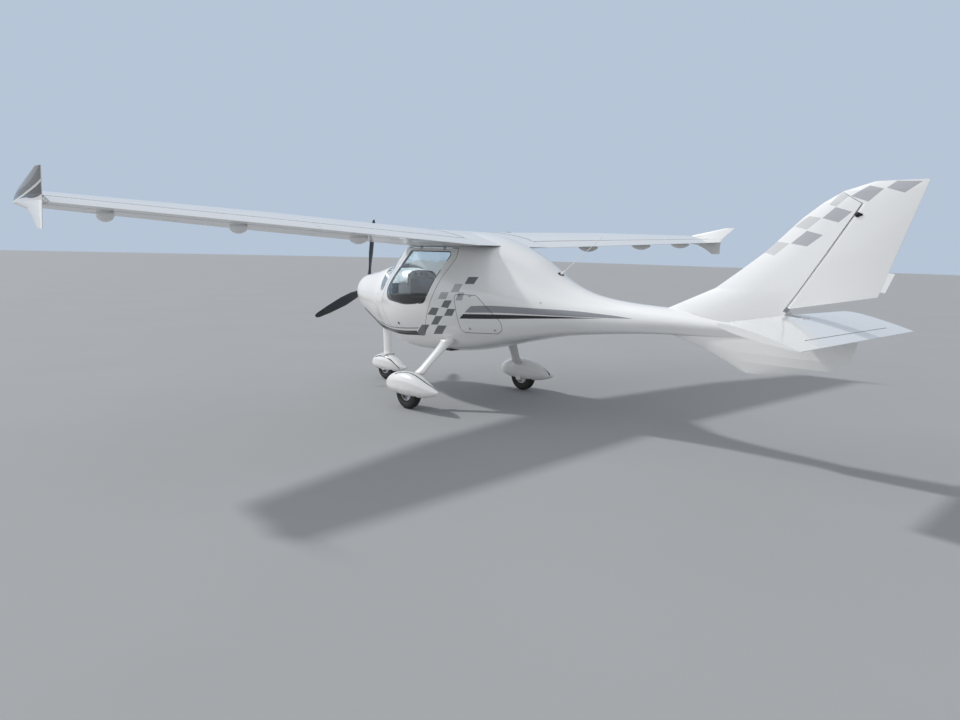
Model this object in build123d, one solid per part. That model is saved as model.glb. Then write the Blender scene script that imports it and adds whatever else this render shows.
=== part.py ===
from build123d import *
import math
import os

os.makedirs("parts", exist_ok=True)

# Two-seat high-wing ultralight aircraft with a nose wheel, canted winglets and an all-moving tailplane.
# Sizes are in millimetres. Stations run from the main axle: x forward, y to port, z up from the floor.
# Finished pieces move forward by AXLE_TO_MIDDLE, so the origin is on the floor at mid length.

PORT, STARBOARD = 1, -1

SPINNER_TIP = 2095
RUDDER_TIP = -4295
AXLE_TO_MIDDLE = -(SPINNER_TIP + RUDDER_TIP) / 2

WALL = 30  # cabin wall, door and hatch
GLASS = 5
PANEL = 12  # cowl panels
CONE_WALL = 16  # shell of the tail cone
PANEL_GAP = 6  # open joint round doors and control surfaces
HATCH_GAP = 5
COVE_GAP = 8  # between the nose of a flap or aileron and its cove
RUDDER_COVE_GAP = 9
FIT = 0.5  # between furniture and the cabin wall
KNUCKLE_LENGTH = 12
PLAY = 0.05  # radial play of a pin or shaft in its bore

FIREWALL = 1150
CABIN_REAR = -1050
COWL_FRONT = 1876

# Hull sections from firewall to tail. Corner columns are (half width, height, corner radius).
# Columns: x, floor, low corner, mid corner, high corner, roof
HULL = [
    (1150, 600, (285, 655, 150), (500, 1075, 420), (270, 1385, 150), 1440),
    (850, 535, (350, 600, 200), (630, 1060, 600), (335, 1545, 170), 1625),
    (500, 508, (400, 570, 230), (690, 1050, 720), (430, 1690, 180), 1790),
    (100, 528, (410, 590, 230), (700, 1050, 760), (460, 1720, 180), 1825),
    (-300, 585, (385, 645, 220), (662, 1060, 700), (430, 1690, 180), 1790),
    (-700, 680, (315, 725, 190), (565, 1080, 580), (320, 1590, 160), 1680),
    (-1050, 765, (245, 800, 150), (450, 1085, 430), (220, 1445, 120), 1530),
    (-1450, 845, (170, 872, 100), (316, 1075, 210), (150, 1265, 90), 1312),
    (-1850, 897, (120, 917, 70), (214, 1065, 170), (108, 1190, 60), 1218),
    (-2250, 938, (88, 953, 50), (155, 1066, 120), (82, 1172, 46), 1188),
    (-2650, 960, (66, 972, 38), (118, 1068, 90), (62, 1166, 36), 1180),
    (-3050, 974, (48, 984, 28), (86, 1070, 60), (46, 1160, 28), 1172),
    (-3490, 985, (32, 992, 18), (52, 1070, 34), (32, 1150, 18), 1160),
]

# Cowl sections forward of the firewall, same columns.
COWL = [
    HULL[0],
    (1400, 690, (265, 745, 140), (455, 1090, 380), (250, 1335, 140), 1388),
    (1650, 800, (235, 850, 130), (385, 1105, 320), (220, 1285, 130), 1338),
    (1825, 905, (180, 945, 110), (290, 1120, 240), (175, 1250, 110), 1300),
    (COWL_FRONT, 985, (120, 1010, 80), (190, 1130, 150), (120, 1235, 80), 1262),
]
COWL_SPLIT = 1090  # height of the joint between upper and lower cowl

# Wing
WING_ROOT = 500
WING_BREAK = 2400
WING_END = 4205
TRAILING_EDGE = -620
ROOT_FRONT, BREAK_FRONT, END_FRONT = 780, 620, 200
ROOT_HEIGHT = 1675  # of the trailing edge at the root
DIHEDRAL = 2.53
EDGE_THICK = 4
CROWN_UP, CROWN_LOW, NOSE_RISE = 0.118, -0.014, 0.043  # shares of the chord above the trailing edge
CROWN_AT = 0.32
SURFACE_ROOT_CHORD, SURFACE_END_CHORD = 200, 150  # flap and aileron strip
FLAP_FROM, FLAP_TO = 512, 2250
AILERON_TO = 4190

# Tail
# Columns of both fins: height, front, back, thickness
FIN = [
    (1100, -2150, -3972, 150),
    (1225, -2450, -4011, 138),
    (1370, -2800, -4055, 124),
    (1500, -2985, -4095, 112),
    (1666, -3210, -4146, 98),
    (1914, -3470, -4223, 76),
    (2018, -3610, -4255, 64),
    (2094, -3740, -4278, 50),
    (2152, -3915, RUDDER_TIP, 20),
]
RUDDER_HINGE_LOW = (-3475, 1247)
RUDDER_HINGE_HIGH = (-3935, 2017)
RUDDER_FOOT_REAR = (-4054, 1366)
HORN_SPLIT = (-3830, 2052)

VENTRAL = [
    (720, -3130, -3300, 24),
    (808, -2880, -3773, 66),
    (880, -2660, -3920, 88),
    (960, -2330, -3940, 104),
    (1040, -2150, -3960, 110),
]

TAILPLANE_PIVOT = (-3560, 1160)
TAILPLANE_HALF_SPAN = 1100
TAILPLANE_PITCH = 12  # parked, trailing edge down
TAILPLANE_FRONT = 160  # pivot to leading edge
TAILPLANE_CHORD = 618
TAILPLANE_TAPER = 26  # how much the leading edge falls back at the tip
TAILPLANE_THICK = 0.085
TAB_CHORD = 110
TAB_HALF_SPAN = 780
TAIL_SLOT = 62  # half width of the notch round the end of the hull

# Undercarriage
AXLE_HEIGHT = 165
HALF_TRACK = 868
TYRE_RADIUS, TYRE_WIDTH = 165, 100
RIM_RADIUS, RIM_WIDTH = 80, 76
NOSE_WHEEL = 1523
NOSE_AXLE_HEIGHT = 150
NOSE_TYRE_RADIUS, NOSE_TYRE_WIDTH = 150, 92
AXLE_RADIUS = 12.5

# Propeller
PROP_PLANE = 1940
PROP_HEIGHT = 1140
PROP_RADIUS = 850
PROP_FIRST = 95.8  # parked angle of the first blade from the port side
SHAFT_RADIUS = 24
SPINNER_RADIUS = 130
SPINNER_BASE = 1885

parts = {}


def side_plane(y):
    """Local x and y are world x and z."""
    return Plane(origin=(0, y, 0), x_dir=(1, 0, 0), z_dir=(0, -1, 0))


def cross_plane(x):
    """Local x and y are world y and z."""
    return Plane(origin=(x, 0, 0), x_dir=(0, 1, 0), z_dir=(1, 0, 0))


def level_plane(z, y=0):
    return Plane(origin=(0, y, z))


def rounded(wire, corners):
    """Round the corners of a flat wire, each given as (x, y, radius)."""
    for x, y, radius in corners:
        corner = wire.vertices().sort_by_distance((x, y, 0))[0]
        wire = wire.fillet_2d(radius, [corner])
    return wire


def outline(points):
    """Closed outline of straight runs, its corners rounded where a third value gives a radius."""
    wire = Wire.make_polygon([(p[0], p[1]) for p in points], close=True)
    return rounded(wire, [p for p in points if len(p) == 3])


def slab(points, y_from, y_to):
    """A side view outline carried across the aircraft from y_from to y_to."""
    low, high = min(y_from, y_to), max(y_from, y_to)
    face = side_plane(high).from_local_coords(Face(outline(points)))
    return Solid.extrude(face, Vector(0, low - high, 0))


def block(x0, x1, y0, y1, z0, z1):
    size = (abs(x1 - x0), abs(y1 - y0), abs(z1 - z0))
    return Pos((x0 + x1) / 2, (y0 + y1) / 2, (z0 + z1) / 2) * Box(*size)


def rod(start, end, radius, end_radius=None):
    """Round bar, or a cone where the end has its own radius."""
    start, end = Vector(*start), Vector(*end)
    plane = Plane(origin=start, z_dir=end - start)
    length = (end - start).length
    if end_radius is None:
        return Solid.make_cylinder(radius, length, plane)
    return Solid.make_cone(radius, end_radius, length, plane)


def mirrored(shape, side):
    return shape if side == PORT else mirror(shape, Plane.XZ)


def hull_wire(row, inset=0):
    """Six corners joined by gentle arcs and straight flanks, every corner rounded."""
    x, floor, low, mid, high, roof = row
    corners = []
    for (half, height, radius), lift in ((low, 0.8), (mid, 0), (high, -0.8)):
        corners.append((half - inset, height + lift * inset, max(radius - inset, 8)))
    (ly, lz, lr), (my, mz, mr), (hy, hz, hr) = corners
    turn = math.atan2(hz - mz, hy - my) - math.atan2(mz - lz, my - ly)
    flank = min(math.hypot(my - ly, mz - lz), math.hypot(hy - my, hz - mz))
    corners[1] = (my, mz, min(mr, 0.8 * flank / math.tan(turn / 2)))
    edges = [
        ThreePointArc((-ly, lz), (0, floor + inset), (ly, lz)),
        Line((ly, lz), (my, mz)),
        Line((my, mz), (hy, hz)),
        ThreePointArc((hy, hz), (0, roof - inset), (-hy, hz)),
        Line((-hy, hz), (-my, mz)),
        Line((-my, mz), (-ly, lz)),
    ]
    wire = Wire([e.edge() for e in edges])
    both = [(side * y, z, r) for y, z, r in corners for side in (PORT, STARBOARD)]
    return cross_plane(x).from_local_coords(rounded(wire, both))


def foil_wire(front, back, base, up, low, rise, edge, crown=0.32, nose=0.028):
    """Aerofoil of four arcs and a blunt trailing edge; up, low and rise are heights above base."""
    chord = front - back
    tip = front + 0.95 * nose * chord
    top = (front - crown * chord, base + up)
    bottom = (front - crown * chord, base + low)
    edges = [
        TangentArc(top, (back, base + edge / 2), tangent=(-1, 0)),
        Line((back, base + edge / 2), (back, base - edge / 2)),
        TangentArc(bottom, (back, base - edge / 2), tangent=(-1, 0)),
        TangentArc(bottom, (tip, base + rise), tangent=(1, 0)),
        TangentArc(top, (tip, base + rise), tangent=(1, 0)),
    ]
    return rounded(Wire([e.edge() for e in edges]), [(tip, base + rise, nose * chord)])


def even_foil(front, back, thickness, edge=5, crown=0.32):
    """Symmetrical aerofoil about its own chord line."""
    return foil_wire(front, back, 0, thickness / 2, -thickness / 2, 0, edge, crown, 0.02)


# Hull

hull = Solid.make_loft([hull_wire(row) for row in HULL])
hull_glass_face = Solid.make_loft([hull_wire(row, GLASS) for row in HULL if row[0] > -1500])
hull_inside = Solid.make_loft([hull_wire(row, WALL) for row in HULL if row[0] > -1900])
cone_inside = Solid.make_loft([hull_wire(row, CONE_WALL) for row in HULL if -700 >= row[0] > -2700])


# Wing forms shared with the cabin roof


def wing_front(y):
    if y <= WING_BREAK:
        return ROOT_FRONT + (BREAK_FRONT - ROOT_FRONT) * (y - WING_ROOT) / (WING_BREAK - WING_ROOT)
    return BREAK_FRONT + (END_FRONT - BREAK_FRONT) * (y - WING_BREAK) / (WING_END - WING_BREAK)


def wing_base(y):
    return ROOT_HEIGHT + (y - WING_ROOT) * math.tan(math.radians(DIHEDRAL))


def wing_wire(y, at=None):
    """Wing section of station y, drawn at the station itself or at another one."""
    front = wing_front(y)
    chord = front - TRAILING_EDGE
    wire = foil_wire(
        front, TRAILING_EDGE, wing_base(y), CROWN_UP * chord, CROWN_LOW * chord, NOSE_RISE * chord, EDGE_THICK
    )
    return side_plane(y if at is None else at).from_local_coords(wire)


def foil_heights(y, back_distance):
    """Lower and upper surface height of the wing at a distance ahead of the trailing edge."""
    chord = wing_front(y) - TRAILING_EDGE
    run = chord * (1 - CROWN_AT)
    heights = []
    for share in (CROWN_LOW, CROWN_UP):
        drop = share * chord
        radius = (run * run + drop * drop) / (2 * abs(drop))
        s = run - back_distance
        fall = radius - math.sqrt(radius * radius - s * s)
        heights.append(wing_base(y) + drop - math.copysign(fall, drop))
    return heights


roof_section = Solid.make_loft([wing_wire(WING_ROOT, -WING_ROOT), wing_wire(WING_ROOT, WING_ROOT)], True)

# Cabin shell, doors, hatches and windscreen

DOOR = [
    (555, 1640, 30),
    (-265, 1640, 20),
    (-265, 1540, 60),
    (-140, 1330, 900),
    (191, 715, 70),
    (790, 690, 160),
    (975, 860, 200),
    (1020, 1040, 200),
]
DOOR_WINDOW = [
    (485, 1605, 30),
    (-205, 1605, 30),
    (82, 1070, 90),
    (420, 1036, 900),
    (925, 1080, 90),
]
SCREEN = [
    (665, 1640, 10),
    (1075, 1070, 60),
    (1180, 1409),
    (1180, 1800),
    (585, 1800),
]
HATCH = [
    (-330, 1184, 40),
    (-600, 1184, 60),
    (-860, 940, 60),
    (-870, 860, 50),
    (-800, 815, 40),
    (-380, 800, 60),
]


def grown(points, by):
    """An outline moved out all round by a gap."""
    return outline(points).offset_2d(by, Kind.ARC)


def across(wire, y_from, y_to, sweep=0, true_at=0):
    """A side view outline carried across the aircraft, swept aft per mm outboard and true at one station."""
    shift = sweep * (abs(true_at) - abs(y_from))
    start = Plane(origin=(shift, y_from, 0), x_dir=(1, 0, 0), z_dir=(0, -1, 0))
    run = y_to - y_from
    return Solid.extrude(start.from_local_coords(Face(wire)), Vector(-sweep * abs(run), run, 0))


def hinge(point, along, toward, reach, radius=8, thick=8, pin=4, knuckle=0, swing=(0, 0)):
    """Lug on the fixed side, slot in the moving side and pin across the slot, on one hinge axis.

    The slot is open over the lug's swing, in degrees about the axis as seen from the moving side."""
    along, toward = Vector(*along).normalized(), Vector(*toward).normalized()
    frame = Plane(origin=Vector(*point), x_dir=toward, z_dir=along)
    bar = Box(reach, 2 * radius, thick, align=(Align.MIN, Align.CENTER, Align.CENTER))
    lug = frame * (Cylinder(radius, thick) + bar - Cylinder(pin + PLAY, thick))
    room = radius + PANEL_GAP
    gap = thick + 2 * PANEL_GAP
    way = Box(reach + room, 2 * room, gap, align=(Align.MIN, Align.CENTER, Align.CENTER))
    slot = Cylinder(room, gap)
    for turn in sorted({swing[0], sum(swing) / 2, swing[1]}):
        slot += Rot(0, 0, turn) * way
    rod_across = Cylinder(pin, gap + 8)
    if knuckle:
        for end in (-1, 1):
            rod_across += Pos(0, 0, end * (gap + KNUCKLE_LENGTH) / 2) * Cylinder(knuckle, KNUCKLE_LENGTH)
    return lug, frame * slot, frame * rod_across


def keep_between(shape, x_from, x_to):
    return shape & block(x_from, x_to, -1500, 1500, 300, 2500)


# Cabin shell with its roof section, open at the back towards the baggage bay

DOOR_HINGE_Y, DOOR_HINGE_Z = 488, 1635
DOOR_HINGE_X = (-80, 290)
DOOR_SWING, HATCH_SWING = 70, 80
FLAP_SWING, AILERON_SWING = (-12, 35), (-20, 20)  # trailing edge down is positive
RUDDER_SWING = (-25, 25)
HATCH_HINGES = ((-400, 559, 1179), (-520, 528, 1179))
HATCH_SWEEP = (HATCH_HINGES[0][1] - HATCH_HINGES[1][1]) / (HATCH_HINGES[0][0] - HATCH_HINGES[1][0])

room_inside = keep_between(hull_inside, CABIN_REAR, FIREWALL - WALL)
screen_cut = across(outline(SCREEN), -900, 900)
cabin = keep_between(hull, CABIN_REAR, FIREWALL) - screen_cut + roof_section - room_inside
windscreen = (keep_between(hull, 500, FIREWALL) & screen_cut) - roof_section - hull_glass_face

door_room = across(grown(DOOR, PANEL_GAP), 200, 900)
window_cut = across(outline(DOOR_WINDOW), 200, 900)
door = (hull & across(outline(DOOR), 200, 900)) - window_cut - hull_inside
door_window = (hull & window_cut) - hull_glass_face
hatch_room = across(grown(HATCH, HATCH_GAP), 150, 900, HATCH_SWEEP, 545)
hatch = (hull & across(outline(HATCH), 150, 900, HATCH_SWEEP, 545)) - hull_inside
lugs = []
for x in DOOR_HINGE_X:
    point = (x, DOOR_HINGE_Y, DOOR_HINGE_Z)
    lug, slot, pin = hinge(point, (1, 0, 0), (0, -0.6, 0.8), 24, knuckle=8, swing=(-DOOR_SWING, 0))
    door = door - slot + pin
    lugs.append(lug)
inboard_up = Vector(HATCH_SWEEP, -1, 0).normalized() * 0.6 + Vector(0, 0, 0.8)
for point in HATCH_HINGES:
    lug, slot, pin = hinge(point, (1, HATCH_SWEEP, 0), tuple(inboard_up), 20, 6, 6, 3, 6, (-HATCH_SWING, 0))
    hatch = hatch - slot + pin
    lugs.append(lug)
both_cuts = [mirrored(cut, side) for cut in (door_room, hatch_room) for side in (PORT, STARBOARD)]
both_lugs = [mirrored(lug, side) for lug in lugs for side in (PORT, STARBOARD)]
cabin = cabin.cut(*both_cuts).fuse(*both_lugs)
for side, name in ((PORT, "left"), (STARBOARD, "right")):
    parts["door_" + name] = mirrored(door, side)
    parts["door_window_" + name] = mirrored(door_window, side)
    parts["baggage_hatch_" + name] = mirrored(hatch, side)

parts["cabin_shell"] = cabin
parts["windscreen"] = windscreen

# Tail cone: a closed hollow shell whose front frame closes the baggage bay

cone = keep_between(hull, -3490, CABIN_REAR)
parts["tail_cone"] = cone - keep_between(cone_inside, -2600, CABIN_REAR - CONE_WALL)

# Cowl panels, engine and its shaft bearing

cowl_form = Solid.make_loft([hull_wire(row) for row in COWL])
cowl_room = Solid.make_loft([hull_wire(row, PANEL) for row in COWL])
cowl = cowl_form - keep_between(cowl_room, FIREWALL, COWL_FRONT - PANEL)
cowl = cowl - rod((COWL_FRONT - 60, 0, PROP_HEIGHT), (COWL_FRONT + 20, 0, PROP_HEIGHT), SHAFT_RADIUS + 24)
STEERING_AXIS = NOSE_WHEEL + 25
STRUT_RADIUS = 22
cowl = cowl - rod((STEERING_AXIS, 0, 600), (STEERING_AXIS, 0, 900), STRUT_RADIUS + 18)
EXHAUST_RADIUS = 21
exhaust_ends = ((1387, -135, 980), (1215, -165, 585))
cowl = cowl - rod(*exhaust_ends, EXHAUST_RADIUS + 10)
parts["cowl_upper"] = cowl & block(1000, 2000, -900, 900, COWL_SPLIT, 2000)
parts["cowl_lower"] = cowl & block(1000, 2000, -900, 900, 300, COWL_SPLIT)

engine = block(1180, 1680, -250, 250, 980, 1190)
engine += rod((1680, 0, PROP_HEIGHT), (1850, 0, PROP_HEIGHT), 62)
engine += block(FIREWALL, 1180, -200, 200, 1000, 1170)
engine -= rod((1780, 0, PROP_HEIGHT), (1860, 0, PROP_HEIGHT), SHAFT_RADIUS + PLAY)
parts["engine_block"] = engine

parts["exhaust_pipe"] = rod(*exhaust_ends, EXHAUST_RADIUS) - rod(*exhaust_ends, EXHAUST_RADIUS - 2) - engine

# Wings with flaps and ailerons on one straight hinge line

wing = Solid.make_loft([wing_wire(WING_ROOT), wing_wire(WING_BREAK), wing_wire(WING_END)], True)
TIE_DOWN_AT, TIE_DOWN_RADIUS, TIE_DOWN_DEPTH = 2300, 4, 25
tie_chord = wing_front(TIE_DOWN_AT) - TRAILING_EDGE
tie_x = wing_front(TIE_DOWN_AT) - CROWN_AT * tie_chord
tie_z = wing_base(TIE_DOWN_AT) + CROWN_LOW * tie_chord
wing -= rod((tie_x, TIE_DOWN_AT, tie_z - 10), (tie_x, TIE_DOWN_AT, tie_z + TIE_DOWN_DEPTH), TIE_DOWN_RADIUS)


def hinge_line_point(y, strip):
    low, high = foil_heights(y, strip)
    return Vector(TRAILING_EDGE + strip, y, (low + high) / 2), (high - low) / 2


line_root, nose_root = hinge_line_point(WING_ROOT, SURFACE_ROOT_CHORD)
line_end, nose_end = hinge_line_point(WING_END, SURFACE_END_CHORD)
span_way = (line_end - line_root).normalized()
line_length = (line_end - line_root).length


def on_line(y):
    return line_root + span_way * ((y - line_root.Y) / span_way.Y)


def between_stations(shape, y_from, y_to):
    start = on_line(y_from)
    length = (on_line(y_to) - start).length
    frame = Plane(origin=start, z_dir=span_way)
    return shape & (frame * Box(3000, 3000, length, align=(Align.CENTER, Align.CENTER, Align.MIN)))


behind_line = Polygon(
    (line_root.X, line_root.Y - 60), (line_end.X, line_end.Y + 60), (-1000, line_end.Y + 60),
    (-1000, line_root.Y - 60), align=None,
)
behind_line = Pos(0, 0, 1400) * extrude(behind_line, 800)
nose = rod(line_root, line_end, nose_root - 0.3, nose_end - 0.3)
cove = rod(line_root, line_end, nose_root + COVE_GAP, nose_end + COVE_GAP)
strip = (wing & behind_line) + nose
wing = wing - behind_line - cove

FLAP_HINGES = (760, 1670)
AILERON_HINGES = (2800, 3770)
FAIRINGS = (1670, 2800, 3770)
flap = between_stations(strip, FLAP_FROM, FLAP_TO)
aileron = between_stations(strip, FLAP_TO + 8, AILERON_TO)
forward = Vector(1, 0, 0) - span_way * span_way.X
for y in FLAP_HINGES + AILERON_HINGES:
    swing = FLAP_SWING if y in FLAP_HINGES else AILERON_SWING
    lug, slot, pin = hinge(on_line(y), span_way, forward, 60, radius=7, pin=3, swing=swing)
    wing = wing + lug
    if y in FLAP_HINGES:
        flap = flap - slot + pin
    else:
        aileron = aileron - slot + pin

FAIRING_FRONT, FAIRING_REAR, FAIRING_RADIUS, FAIRING_TIP = -120, -405, 48, 5
for y in FAIRINGS:
    low, high = foil_heights(y, FAIRING_REAR - TRAILING_EDGE)
    profile = Wire([
        Line((FAIRING_REAR, 0), (FAIRING_FRONT, 0)).edge(),
        Line((FAIRING_FRONT, 0), (FAIRING_FRONT, FAIRING_TIP)).edge(),
        ThreePointArc((FAIRING_FRONT, FAIRING_TIP), (-230, FAIRING_RADIUS), (FAIRING_REAR, FAIRING_TIP)).edge(),
        Line((FAIRING_REAR, FAIRING_TIP), (FAIRING_REAR, 0)).edge(),
    ])
    body = Solid.revolve(Face(profile), 360, Axis.X)
    wing = wing + Pos(0, y, wing_base(y) - 27) * body

# Canted winglets. Columns: height, front, back, station y, thickness
WINGLET = [
    (1676, -497, -620, 4241, 14),
    (1745, -385, -623, 4240, 20),
    (1805, -240, -626, 4238, 28),
    (1850, 150, -630, 4236, 46),
    (1890, 80, -650, 4240, 42),
    (1930, -60, -690, 4250, 34),
    (1980, -330, -745, 4262, 24),
    (2041, -667, -810, 4276, 13),
]
winglet = Solid.make_loft([
    level_plane(z, y).from_local_coords(even_foil(front, back, thick, 4))
    for z, front, back, y, thick in WINGLET
], True)
TIP_STATION = 4236
tip_wire = foil_wire(150, TRAILING_EDGE - 18, wing_base(TIP_STATION) + 14, 52, 4, 28, EDGE_THICK)
tip = Solid.make_loft([wing_wire(WING_END), side_plane(TIP_STATION).from_local_coords(tip_wire)], True)
winglet = winglet + tip

for side, name in ((PORT, "left"), (STARBOARD, "right")):
    parts["wing_" + name] = mirrored(wing, side)
    parts["flap_" + name] = mirrored(flap, side)
    parts["aileron_" + name] = mirrored(aileron, side)
    parts["winglet_" + name] = mirrored(winglet, side)

# Fin and horn-balanced rudder on a swept hinge line

fin_form = Solid.make_loft([level_plane(z).from_local_coords(even_foil(f, b, t)) for z, f, b, t in FIN], True)
low_x, low_z = RUDDER_HINGE_LOW
high_x, high_z = RUDDER_HINGE_HIGH
hinge_length = math.hypot(high_x - low_x, high_z - low_z)
ux, uz = (high_x - low_x) / hinge_length, (high_z - low_z) / hinge_length
split = (HORN_SPLIT[0] - low_x) * ux + (HORN_SPLIT[1] - low_z) * uz


def fin_half(x, z):
    """Half thickness of the fin's aerofoil at a side view point behind its crown."""
    for (z0, *low), (z1, *high) in zip(FIN, FIN[1:]):
        if z0 <= z <= z1:
            front, back, thick = (a + (b - a) * (z - z0) / (z1 - z0) for a, b in zip(low, high))
    crown_x = front - 0.32 * (front - back)
    return thick / 2 * (1 - ((crown_x - x) / (crown_x - back)) ** 2)


rudder_nose = (fin_half(low_x, low_z), fin_half(high_x, high_z))
rudder_cove = [half + RUDDER_COVE_GAP for half in rudder_nose]


def on_fin(along, ahead):
    """Side view point at a distance up the hinge line and ahead of it."""
    return (low_x + ux * along + uz * ahead, low_z + uz * along - ux * ahead)


def rudder_zone(gap):
    return slab([
        on_fin(-300, 0), on_fin(split - gap, 0), on_fin(split - gap, 700), on_fin(split + 700, 700),
        on_fin(split + 700, -1300), on_fin(-300, -1300),
    ], -200, 200)


def axis_rod(start, end, r0, r1):
    (x0, z0), (x1, z1) = on_fin(start, 0), on_fin(end, 0)
    return rod((x0, 0, z0), (x1, 0, z1), r0, r1)


foot_x, foot_z = RUDDER_FOOT_REAR
foot_line = slab([
    (low_x - 2 * (foot_x - low_x), low_z - 2 * (foot_z - low_z)),
    (low_x + 3 * (foot_x - low_x), low_z + 3 * (foot_z - low_z)),
    (low_x + 3 * (foot_x - low_x), 500), (low_x - 2 * (foot_x - low_x), 500),
], -200, 200)
rudder = (fin_form & rudder_zone(0)) + axis_rod(0, split, *rudder_nose) - foot_line
fin = fin_form - rudder_zone(PANEL_GAP) - hull
fin -= axis_rod(-40, split + 20, *rudder_cove)
RUDDER_HINGES = (60, 760)
for along in RUDDER_HINGES:
    x, z = on_fin(along, 0)
    lug, slot, pin = hinge((x, 0, z), (ux, 0, uz), (uz, 0, -ux), 80, radius=10, swing=RUDDER_SWING)
    rudder = rudder - slot + pin
    fin = fin + lug
rudder_tab = slab([(-4090, 1536), (-4050, 1403), (-4098, 1398), (-4147, 1530)], -2, 2)
rudder = rudder + rudder_tab
parts["fin"] = fin
parts["rudder"] = rudder

ventral = Solid.make_loft([level_plane(z).from_local_coords(even_foil(f, b, t)) for z, f, b, t in VENTRAL], True)
parts["ventral_fin"] = ventral - hull

# All-moving tailplane with its trim tab, built level about the pivot and then pitched

PIVOT_TUBE = 15
BRACKET_RADIUS, BRACKET_THICK, BRACKET_AT = 27, 12, 30
pivot_x, pivot_z = TAILPLANE_PIVOT
tail_back = TAILPLANE_FRONT - TAILPLANE_CHORD


def tail_wire(y, front):
    wire = even_foil(front, tail_back, TAILPLANE_THICK * (front - tail_back), 4)
    return side_plane(y).from_local_coords(wire)


tip_front = TAILPLANE_FRONT - TAILPLANE_TAPER
tailplane = Solid.make_loft([
    tail_wire(-TAILPLANE_HALF_SPAN, tip_front), tail_wire(0, TAILPLANE_FRONT),
    tail_wire(TAILPLANE_HALF_SPAN, tip_front),
], True)
notch_back = -(BRACKET_RADIUS + PANEL_GAP)
tailplane -= block(notch_back, 300, -TAIL_SLOT, TAIL_SLOT, -100, 100)
tailplane += rod((0, -TAIL_SLOT - 40, 0), (0, TAIL_SLOT + 40, 0), PIVOT_TUBE)
tab_line = tail_back + TAB_CHORD
tab_nose = 10
tab_zone = block(tail_back - 50, tab_line, -TAB_HALF_SPAN, TAB_HALF_SPAN, -100, 100)
tab_room = block(tail_back - 50, tab_line, -TAB_HALF_SPAN - PANEL_GAP, TAB_HALF_SPAN + PANEL_GAP, -100, 100)
tab = (tailplane & tab_zone) + rod((tab_line, -TAB_HALF_SPAN, 0), (tab_line, TAB_HALF_SPAN, 0), tab_nose)
tailplane -= tab_room
room_end = TAB_HALF_SPAN + PANEL_GAP
tailplane -= rod((tab_line, -room_end, 0), (tab_line, room_end, 0), tab_nose + PANEL_GAP)
for y in (-560, 0, 560):
    lug, slot, pin = hinge((tab_line, y, 0), (0, 1, 0), (1, 0, 0), 40, radius=6, thick=6, pin=2.5)
    tab = tab - slot + pin
    tailplane = tailplane + lug
parked = Pos(pivot_x, 0, pivot_z) * Rot(0, -TAILPLANE_PITCH, 0)
parts["tailplane"] = parked * tailplane
parts["tailplane_tab"] = parked * tab

bracket = None
for side in (PORT, STARBOARD):
    y = side * BRACKET_AT
    ear = rod((pivot_x, y - BRACKET_THICK / 2, pivot_z), (pivot_x, y + BRACKET_THICK / 2, pivot_z), BRACKET_RADIUS)
    ear += block(pivot_x, -3490, y - BRACKET_THICK / 2, y + BRACKET_THICK / 2, 1110, pivot_z + 20)
    ear -= rod((pivot_x, -90, pivot_z), (pivot_x, 90, pivot_z), PIVOT_TUBE + PLAY)
    bracket = ear if bracket is None else bracket + ear
bracket += block(-3500, -3490, -36, 36, 1046, 1140)
parts["tailplane_bracket"] = bracket

# Wheels


def tyre(radius, width, rim):
    """Tyre on its side: axis along y, centred on the origin; one flank's corners are (radius, half width)."""
    half = width / 2
    wall = radius - rim
    flank = [
        (rim, 0.7 * half),
        (rim + 0.2 * wall, 0.9 * half),
        (rim + 0.5 * wall, half),
        (rim + 0.78 * wall, 0.93 * half),
        (rim + 0.93 * wall, 0.66 * half),
    ]
    loop = flank + [(radius, 0.3 * half), (radius, -0.3 * half)] + [(r, -y) for r, y in reversed(flank)]
    return Solid.revolve(Face(Wire.make_polygon(loop, close=True)), 360, Axis.Y)


def rim(radius, width, bore):
    """Cast wheel: a barrel, a web and a hub."""
    half = width / 2
    barrel = Cylinder(radius, width) - Cylinder(radius - 8, width)
    web = Cylinder(radius - 4, 14)
    hub = Cylinder(30, width)
    holes = PolarLocations(radius * 0.62, 6) * Cylinder(9, 40)
    wheel = barrel + web + hub - holes - Cylinder(bore, width)
    return Rot(90, 0, 0) * wheel


def spat_wire(x, low, high, half, inset=0):
    width = 2 * (half - inset)
    height = high - low - 2 * inset
    face = RectangleRounded(width, height, 0.46 * min(width, height))
    return (cross_plane(x) * Pos(0, (low + high) / 2) * face).wire()


# Wheel spat about its wheel. Columns: x, low, high, half width
SPAT = [
    (342, 205, 245, 24),
    (300, 168, 296, 60),
    (200, 142, 352, 92),
    (70, 132, 378, 105),
    (-80, 132, 376, 104),
    (-210, 142, 342, 86),
    (-330, 166, 292, 56),
    (-430, 200, 248, 24),
    (-459, 214, 238, 10),
]
SPAT_SHELL = 5
NOSE_SPAT_SCALE = 0.84


def spat(scale, slot_half, slot_length):
    rows = [[value * scale for value in row] for row in SPAT]
    form = Solid.make_loft([spat_wire(*row) for row in rows])
    room = Solid.make_loft([spat_wire(*row, SPAT_SHELL) for row in rows[1:-1]])
    shell = form - room
    return shell - block(-slot_length, slot_length, -slot_half, slot_half, 0, 200 * scale)


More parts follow.
